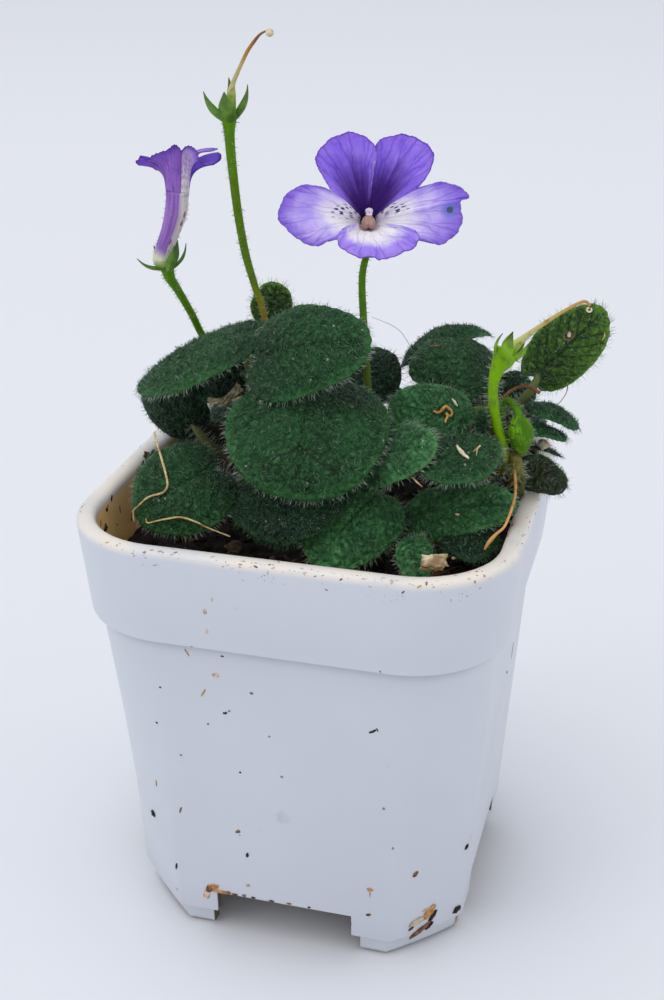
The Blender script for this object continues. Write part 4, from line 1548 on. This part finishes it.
SEED_STALK = stalk_skin("seed stalk", (0.34, 0.17, 0.01), (0.105, 0.2, 0.001), (0.1, 0.27, 0.001))
seed_stem = stem_point("stem_left", 90.8)
seed_stalk_row = [seed_stem + Vector((0, 0.3, 0.2)), (-12.5, 6.2, 97.6), (-14.3, 7.2, 102.5),
    (-16.0, 7.7, 107.9), (-17.3, 8.1, 114.8), (-17.98, 8.2, 121.1), (-18.25, 8.0, 126.6),
    (-18.25, 8.0, 129.6)]
seed_lobes = [
    ((-19.0, 7.4, 128.9), (-21.9, 6.7, 133.4), (0.45, 0.75, 0.45), 2.3),
    ((-17.9, 6.9, 129.0), (-18.2, 5.9, 133.6), (0.1, 1, 0.2), 3.0),
    ((-17.3, 7.9, 129.0), (-15.2, 8.4, 134.5), (-0.8, 0.25, 0.5), 1.7),
    ((-18.4, 9.0, 129.0), (-18.9, 10.2, 135.1), (0, -1, 0.1), 1.6),
    ((-17.6, 8.9, 129.0), (-16.0, 10.6, 133.6), (-0.5, -0.8, 0.3), 1.8),
]
stalk_and_cup("seed_head_stalk", "seed_stalk", seed_stalk_row,
    (0.45, 0.5, 0.58, 0.66, 0.7, 0.74, 0.82, 1.3), seed_lobes, "flower_stalk", SEED_STALK, 63)


def dry_style_skin(name, stops):
    """A style that shades through a row of colours from its foot to its end."""
    skin = Skin(name)
    along = skin.mark("along")
    skin.colour = stops[0][1]
    for (start, _), (end, colour) in zip(stops, stops[1:]):
        skin.tint(colour, skin.between(along, start, end))
    grain = skin.noise(1200.0, 3.0)
    skin.tint(skin.mix(1.0, skin.colour, (0.6, 0.5, 0.4), "MULTIPLY"), skin.between(grain, 0.5, 0.75))
    return skin.finish(0.45, grain, 0.4, 0.0002, (0.15, 0.0006, 0.0004, 0.0002))


SEED_STYLE_SKIN = dry_style_skin("seed style", [(0.1, (0.3, 0.5, 0.02)), (0.24, (0.34, 0.44, 0.06)),
    (0.32, (0.52, 0.52, 0.22)), (0.5, (0.52, 0.44, 0.16)), (0.62, (0.42, 0.22, 0.03)),
    (0.8, (0.26, 0.1, 0.012)), (0.97, (0.22, 0.12, 0.03))])
KNOB_SKIN = plain_skin("style knob", ((0.62, 0.48, 0.27), (0.8, 0.7, 0.5)), 1400.0, 0.5, 0.0002, 0.2)
seed_pod = new_piece()
add_stalk(seed_pod, smooth_row([(-18.1, 8.0, 129.2), (-18.0, 8.0, 130.8), (-17.8, 8.0, 132.9),
    (-17.45, 8.0, 134.6), (-16.3, 8.0, 137.0), (-15.0, 7.9, 139.4), (-13.75, 7.6, 141.0),
    (-12.7, 7.3, 142.1), (-11.7, 7.1, 142.65)], 40), (1.05, 0.95, 0.74, 0.4, 0.32, 0.3, 0.28, 0.2, 0.14),
    12, 0, 0.04)
add_ball(seed_pod, (-11.05, 7.0, 142.45), (0.66, 0.62, 0.62), 1, None, 0.05, 5)
finish_piece(seed_pod, "seed_pod_and_style", [SEED_STYLE_SKIN, KNOB_SKIN], "flower_stalk", "seed_pod")


# ------------------------------------------------------------------ the spent flower and the bud
# A bright, thick stalk ends in a cup whose long dry style leans on the upright leaf. Below it a green bud
# nods on a short arched stalk.

LIME_STALK = stalk_skin("lime stalk", (0.16, 0.14, 0.01), (0.2, 0.42, 0.001), (0.22, 0.48, 0.001))
LIME_CUP = plain_skin("lime cup", ((0.12, 0.27, 0.002), (0.22, 0.46, 0.004), (0.06, 0.1, 0.005)), 500.0,
    0.45, 0.0002, 0.15)
spent_stem = stem_point("stem_right", 77.5)
spent_stalk_row = [spent_stem + Vector((1.4, -0.9, 0)), (29.5, -2.4, 79.0), (29.3, -3.2, 83.0),
    (28.2, -3.3, 86.0), (27.35, -3.2, 89.4), (27.0, -2.8, 92.3), (27.3, -2.0, 95.0), (28.1, -1.3, 96.6),
    (28.7, -1.0, 97.9)]
spent_lobes = [
    ((27.0, -1.8, 97.2), (27.95, -2.0, 101.0), (1, 0.1, -0.2), 1.3),
    ((28.4, -2.7, 97.0), (29.6, -2.6, 101.1), (0.2, 1, 0.1), 2.1),
    ((29.7, -1.6, 96.7), (31.85, -1.0, 99.5), (-0.3, 0.5, 0.9), 1.9),
    ((27.9, 0.4, 97.2), (29.0, 1.8, 100.2), (0.3, -1, 0), 1.5),
    ((29.0, 0.2, 96.8), (31.0, 1.6, 99.2), (-0.4, -0.8, 0.3), 1.5),
]
stalk_and_cup("spent_flower_stalk", "spent_stalk", spent_stalk_row,
    (0.45, 0.5, 0.6, 0.76, 0.8, 0.78, 1.05, 1.75, 1.9), spent_lobes, "flower_stalk", LIME_STALK, 64, 0.8,
    12, 18, LIME_CUP)
SPENT_STYLE_SKIN = dry_style_skin("spent style", [(0.04, (0.36, 0.56, 0.02)), (0.22, (0.5, 0.62, 0.12)),
    (0.32, (0.58, 0.58, 0.22)), (0.52, (0.55, 0.4, 0.11)), (0.72, (0.5, 0.28, 0.07)),
    (1.0, (0.5, 0.25, 0.09))])
spent_style = new_piece()
add_stalk(spent_style, smooth_row([(28.7, -0.2, 97.6), (29.6, 0.1, 98.5), (30.6, 0.4, 99.5),
    (32.5, 0.6, 101.2), (36.0, 1.0, 103.9), (38.85, 1.5, 105.65), (39.8, 1.7, 105.8), (40.3, 1.8, 105.2)],
    36), (1.15, 0.85, 0.6, 0.36, 0.27, 0.25, 0.24, 0.26), 12, 0, 0.03)
ring = [Vector((40.3, 1.7, 104.6)) + Vector((0.36 * math.cos(a), 0, 0.31 * math.sin(a)))
    for a in np.linspace(0.5 * math.pi, 2.3 * math.pi, 12)]
add_stalk(spent_style, smooth_row(ring, 20), (0.17, 0.13), 8, 1)
finish_piece(spent_style, "spent_flower_style", [SPENT_STYLE_SKIN, KNOB_SKIN], "dried_plant", "spent_style")


def bud_skin():
    """The bud's green skin, with fine dark veins that meet at its point."""
    skin = Skin("bud skin")
    line = skin.between(flat_cells(skin, skin.mark("across"), 5.0, skin.mark("along"), 3.0), 0.1, 0.0)
    patchy = skin.patches(350.0, 0.5, 0.12)
    skin.colour = skin.mix(patchy, (0.065, 0.18, 0.001), (0.16, 0.38, 0.002))
    skin.tint((0.025, 0.05, 0.005), line, patchy)
    return skin.finish(0.45, line, 0.5, 0.0003, (0.2, 0.0006, 0.001, 0.0003), 0.15, True)


BUD_TOP = np.array((31.2, -2.5, 88.3))
BUD_POINT = np.array((32.1, -3.7, 82.2))
bud = new_piece()
bud_stem = stem_point("stem_right", 82.0)
bud_row = smooth_row([bud_stem + Vector((1.3, -0.1, 0)), (28.1, 0.0, 86.5), (28.3, -0.1, 88.9),
    (29.1, -0.5, 89.75), (30.1, -1.2, 89.4), (30.9, -2.1, 88.7), BUD_TOP - (0, 0, 0.5)], 30)
add_stalk(bud, bud_row, (0.5, 0.55, 0.55, 0.6), 12, 0)
bud_radii = (0.55, 1.25, 1.75, 2.0, 2.0, 1.85, 1.5, 0.95, 0.25)
bud_line = smooth_row([BUD_TOP, (BUD_TOP + BUD_POINT) / 2 + (0.1, 0, 0), BUD_POINT], 26)
add_stalk(bud, bud_line, bud_radii, 28, 1, 0.03, 2)
for k in range(5):
    angle = math.radians(20 + 72 * k)
    out = np.array((math.cos(angle), math.sin(angle), 0.15))
    base = BUD_TOP + out * 0.9 - (0, 0, 0.6)
    tip = BUD_TOP + out * 1.72 - (-0.5 * out[0], 0, 4.6)
    add_sepal(bud, base, tip, -out, 2.3, (1, 1), 0.2, -0.06)
hairs_round_stalk(bud, bud_row, (0.5, 0.55, 0.55, 0.6), 9, 0.6, 2, np.random.default_rng(81))
hairs_round_stalk(bud, bud_line, bud_radii, 14, 0.5, 2, np.random.default_rng(82))
finish_piece(bud, "nodding_bud", [BRIGHT_STALK, bud_skin(), WHITE_HAIR], "flower_stalk", "bud")


# ------------------------------------------------------------------ what has withered on the plant
# A brown dried stalk, a shrivelled cup with its thread-like style, and a curled golden scrap of a petal.

WITHERED = plain_skin("withered brown", ((0.09, 0.035, 0.012), (0.26, 0.12, 0.04), (0.2, 0.08, 0.025)),
    900.0, 0.7, 0.0004)
WITHERED_YELLOW = plain_skin("withered yellow", ((0.055, 0.05, 0.008), (0.22, 0.19, 0.02),
    (0.14, 0.13, 0.02)), 1100.0, 0.65, 0.0005)
GOLDEN = plain_skin("golden scrap", ((0.5, 0.2, 0.035), (0.68, 0.38, 0.1)), 800.0, 0.5, 0.0003, 0.2)
dry_stem = stem_point("stem_right", 83.5)
dry_stalk = new_piece()
add_stalk(dry_stalk, smooth_row([dry_stem + Vector((1.2, -0.2, 0)), (27.9, 1.5, 84.9), (27.65, 1.7, 87.7),
    (28.6, 2.0, 90.0), (30.6, 2.0, 91.3), (32.4, 1.2, 91.6), (33.7, 0.4, 91.2)], 34),
    (0.34, 0.3, 0.26, 0.27, 0.32), 9, 0, 0.12, 2)
finish_piece(dry_stalk, "dried_brown_stalk", [WITHERED], "dried_plant", "dry_stalk")

calyx_stem = stem_point("stem_right", 76.0)
dry_cup = new_piece()
add_stalk(dry_cup, smooth_row([calyx_stem + Vector((1.3, -0.5, 0)), (29.2, -1.8, 78.6), (30.4, -2.8, 81.6),
    (31.2, -3.5, 81.6), (31.4, -3.8, 80.4), (31.4, -4.0, 79.3)], 26), (0.42, 0.42, 0.5, 0.8, 1.15, 1.3), 14,
    0, 0.16, 3)
for k in range(6):
    angle = math.radians(10 + 60 * k)
    out = np.array((math.cos(angle), 0.7 * math.sin(angle), 0.0))
    base = np.array((31.35, -3.9, 80.6)) + out * 0.7
    reach = 1.35 + 0.3 * math.sin(5 * k)
    tip = np.array((31.3, -4.1, 76.9)) + out * reach + (0, 0, math.cos(3 * k) * 0.5)
    add_sepal(dry_cup, base, tip, -out, 1.6, (0, 0), 0.5, -0.15)
hairs_round_stalk(dry_cup, smooth_row([(31.3, -3.7, 81.2), (31.4, -4.0, 78.2)], 8), (1.2, 1.6), 26, 0.8, 1,
    np.random.default_rng(83))
finish_piece(dry_cup, "dried_cup", [WITHERED_YELLOW, WHITE_HAIR], "dried_plant", "dry_calyx")
DRY_THREAD = dry_style_skin("dry thread", [(0.0, (0.5, 0.28, 0.09)), (0.5, (0.74, 0.4, 0.12)),
    (1.0, (0.66, 0.36, 0.11))])
dry_style = new_piece()
add_stalk(dry_style, smooth_row([(31.4, -5.5, 80.3), (32.1, -9.0, 78.5), (32.2, -12.0, 77.2),
    (31.6, -15.0, 75.2), (30.55, -16.0, 74.2), (29.7, -17.0, 73.3), (29.1, -17.6, 72.1)], 34),
    (0.24, 0.26, 0.22, 0.2, 0.24, 0.34, 0.16), 8, 0, 0.08, 1)
finish_piece(dry_style, "dried_thread", [DRY_THREAD], "dried_plant", "dry_style")


# ------------------------------------------------------------------ straw, bark and splinters
# Bits of dry straw and bark from the potting mix have dropped on the leaves and on the soil. Each lies on
# what is under it.

def on_leaf(name, a, b, lift=0.35):
    """A place just above a leaf's upper face, at a from its base to its tip and b across."""
    return on_blade(name, a * math.sqrt(1 - b * b / 2), b * math.sqrt(1 - a * a / 2), lift)


STRAW = plain_skin("straw", ((0.42, 0.27, 0.1), (0.74, 0.58, 0.3)), 900.0, 0.6, 0.0003)
PALE_WOOD = plain_skin("pale wood", ((0.62, 0.5, 0.32), (0.86, 0.76, 0.56)), 700.0, 0.7, 0.0003)
TWIG = plain_skin("twig", ((0.1, 0.04, 0.022), (0.34, 0.17, 0.09)), 700.0, 0.7, 0.0003)
BARK = plain_skin("bark", ((0.3, 0.19, 0.09), (0.78, 0.66, 0.44)), 420.0, 0.75, 0.0006)


def add_straw(name, node, leaf, spots, radii, finish=STRAW, seed=0, lift=0.3):
    """A bent piece of straw that lies along a leaf. A spot with three numbers is off the leaf."""
    piece = new_piece()
    row = smooth_row([on_leaf(leaf, *spot, lift) if len(spot) == 2 else spot for spot in spots], 30)
    add_stalk(piece, row, radii, 8, 0, 0.14, seed)
    finish_piece(piece, name, [finish], "straw_and_bark" if finish != GOLDEN else "dried_plant", node)


add_straw("long_straw", "straw_long", "leaf_front_left", ((-26.59, -9.0, 82.0), (-25.33, -10.8, 80.23),
    (-0.01, -0.68), (0.12, -0.27), (0.21, -0.1), (0.35, -0.07), (0.61, -0.19), (0.83, -0.26), (0.95, -0.32),
    (-26.4, -19.8, 71.0)), (0.15, 0.2, 0.17, 0.17, 0.12), seed=1)
add_straw("short_straw", "straw_short", "leaf_front_left", ((0.84, 0.12), (0.88, 0.22), (0.76, 0.35),
    (0.58, 0.49), (0.35, 0.62), (0.19, 0.83), (0.09, 0.95), (-10.0, -20.9, 70.9)),
    (0.12, 0.13, 0.17, 0.15, 0.1), seed=2)
add_straw("curled_scrap", "dry_curl", "leaf_right_upper", ((0.04, 0.01), (-0.09, -0.07), (-0.15, -0.21),
    (-0.29, -0.25), (-0.39, -0.16), (-0.35, -0.02), (-0.22, -0.1), (-0.29, 0.04), (-0.25, 0.15),
    (-0.31, 0.26)), (0.16, 0.26, 0.15, 0.24, 0.12), GOLDEN, 3, 0.5)
SPLINTERS = [
    ("leaf_right_upper", ((-0.27, -0.54), (-0.36, -0.49), (-0.46, -0.42)), 0.24, PALE_WOOD),
    ("leaf_right_lower", ((-0.16, -0.01), (0.15, 0.11), (0.34, 0.26)), 0.34, PALE_WOOD),
    ("leaf_right_lower", ((0.14, 0.36), (0.0, 0.44), (-0.06, 0.5), (0.08, 0.42), (0.26, 0.43)), 0.14,
        STRAW),
    ("leaf_back_right", ((0.59, -0.51), (0.41, -0.41), (0.25, -0.39)), 0.17, TWIG),
]
for number, (leaf, spots, half, finish) in enumerate(SPLINTERS, 1):
    add_straw(f"straw_splinter_{number}", f"splinter_{number}", leaf, spots, (0.5 * half, half, 0.4 * half),
        finish, number)

CHIP_SIZE = (3.8, 2.2, 1.4)
chip_seat = Vector((22.6, -23.6, 72.0))
chip_turn = (Matrix.Rotation(math.radians(12), 3, "Z") @ Matrix.Rotation(math.radians(42), 3, "X")
    @ Matrix.Rotation(math.radians(-8), 3, "Y"))
chip_mesh = bmesh.new()
bmesh.ops.create_cube(chip_mesh, size=1.0)
bmesh.ops.subdivide_edges(chip_mesh, edges=chip_mesh.edges, cuts=14, use_grid_fill=True)
for vert in chip_mesh.verts:
    rough = noise.fractal(vert.co * 2.3 + Vector((5.0, 1.0, 2.0)), 0.8, 2.0, 5) * 0.34
    step = 0.16 if vert.co.x > 0.12 and vert.co.y < -0.2 else 0.0
    rounder = 1.12 - 0.35 * vert.co.length
    vert.co = Vector((side * size for side, size in zip(vert.co * (rounder + rough - step), CHIP_SIZE)))
chip_mesh.verts.ensure_lookup_table()
chip = new_piece()
add_skin(chip, [chip_turn @ vert.co + chip_seat for vert in chip_mesh.verts],
    [[vert.index for vert in face.verts] for face in chip_mesh.faces])
chip_mesh.free()
finish_piece(chip, "chip_of_bark", [BARK], "straw_and_bark", "bark_chip")


# ------------------------------------------------------------------ small litter
# A shed hair, a twist of dry membrane, a pale lump, some dark crumbs and two dry stalks, caught among the
# leaves. They rest on the leaves and hold by their hairs.

FADED = plain_skin("shed hair", ((0.3, 0.3, 0.3), (0.42, 0.42, 0.42)), 900.0)
MEMBRANE = plain_skin("dry membrane", ((0.16, 0.14, 0.06), (0.46, 0.42, 0.26)), 900.0, 0.6, 0.0004, 0.2)
litter = new_piece()
add_stalk(litter, smooth_row([(5.6, 6.0, 99.4), (8.84, 5.0, 98.73), (10.48, 5.0, 97.77), (11.65, 5.0, 96.3),
    (12.3, 6.4, 94.2)], 26), (0.035, 0.05, 0.04), 6, 0)
add_stalk(litter, smooth_row([(37.5, 6.2, 91.6), (37.37, 6.0, 89.73), (36.82, 6.0, 88.5),
    (35.6, 6.0, 86.6)], 14), (0.1, 0.07, 0.05), 6, 1)
add_stalk(litter, smooth_row([(17.6, -16.6, 82.2), (18.4, -17.0, 81.7), (19.3, -17.2, 81.1)], 8),
    (0.08, 0.14, 0.08), 6, 2)
# Each lump: where it lies, its radii, its finish and its seed.
LUMPS = (
    ((34.4, 4.4, 81.1), (1.0, 0.7, 0.8), 3, 2),
    ((8.5, 9.6, 91.4), (0.3, 0.24, 0.34), 4, 3),
    ((9.5, 9.6, 89.7), (0.26, 0.22, 0.24), 4, 5),
    ((24.3, -14.8, 76.1), (0.3, 0.2, 0.16), 2, 7),
    ((24.6, -18.2, 70.4), (0.32, 0.2, 0.22), 2, 9),
)
for place, radii, finish, seed in LUMPS:
    add_ball(litter, place, radii, finish, None, 0.22, seed, 14, 9)
# A twist of dry membrane between two folded edges.
FOLD_EDGES = (
    [(-20.3, -1.0, 85.6), (-17.7, -1.6, 86.1), (-16.1, -1.2, 87.3), (-15.1, -1.0, 88.8)],
    [(-20.1, -0.4, 84.2), (-17.3, -1.1, 84.5), (-15.8, -1.0, 85.8), (-14.1, -0.8, 87.4)],
)
fold_rows = [smooth_row(fold_edge, 20) for fold_edge in FOLD_EDGES]
sheet = np.stack([fold_rows[0] * (1 - t) + fold_rows[1] * t for t in np.linspace(0, 1, 8)])
for k, line in enumerate(sheet):
    line[:, 1] += 0.35 * np.sin(1.9 * k + 0.8 * np.arange(20)) + 0.2 * np.sin(2.7 * np.arange(20))
add_sheet(litter, sheet, 0.06, (5, 5))
add_stalk(litter, smooth_row([(-15.7, -1.4, 85.8), (-14.5, -1.8, 86.5), (-13.5, -2.0, 86.8)], 8),
    (0.16, 0.12, 0.05), 6, 2)
# A torn ring and a golden bit on the upright leaf.
scar = [on_leaf("leaf_right_upright", 0.27 + 0.1 * math.cos(a), 0.23 + 0.13 * math.sin(a), 0.1)
    for a in np.linspace(0, 2 * math.pi, 12)]
add_stalk(litter, smooth_row(scar, 24), (0.13, 0.13), 6, 1)
add_ball(litter, on_leaf("leaf_right_upright", 0.27, 0.23, 0.0), (0.36, 0.16, 0.5), 3, None, 0.1, 11, 14, 9)
golden_spots = ((0.84, -0.62), (0.78, -0.71), (0.7, -0.72))
golden_bit = [on_leaf("leaf_right_upright", *spot, 0.2) for spot in golden_spots]
add_stalk(litter, smooth_row(golden_bit, 8), (0.06, 0.14, 0.06), 6, 2)
finish_piece(litter, "small_litter", [FADED, TWIG, STRAW, PALE_WOOD, DIRT_FINISHES[0], MEMBRANE],
    "straw_and_bark")
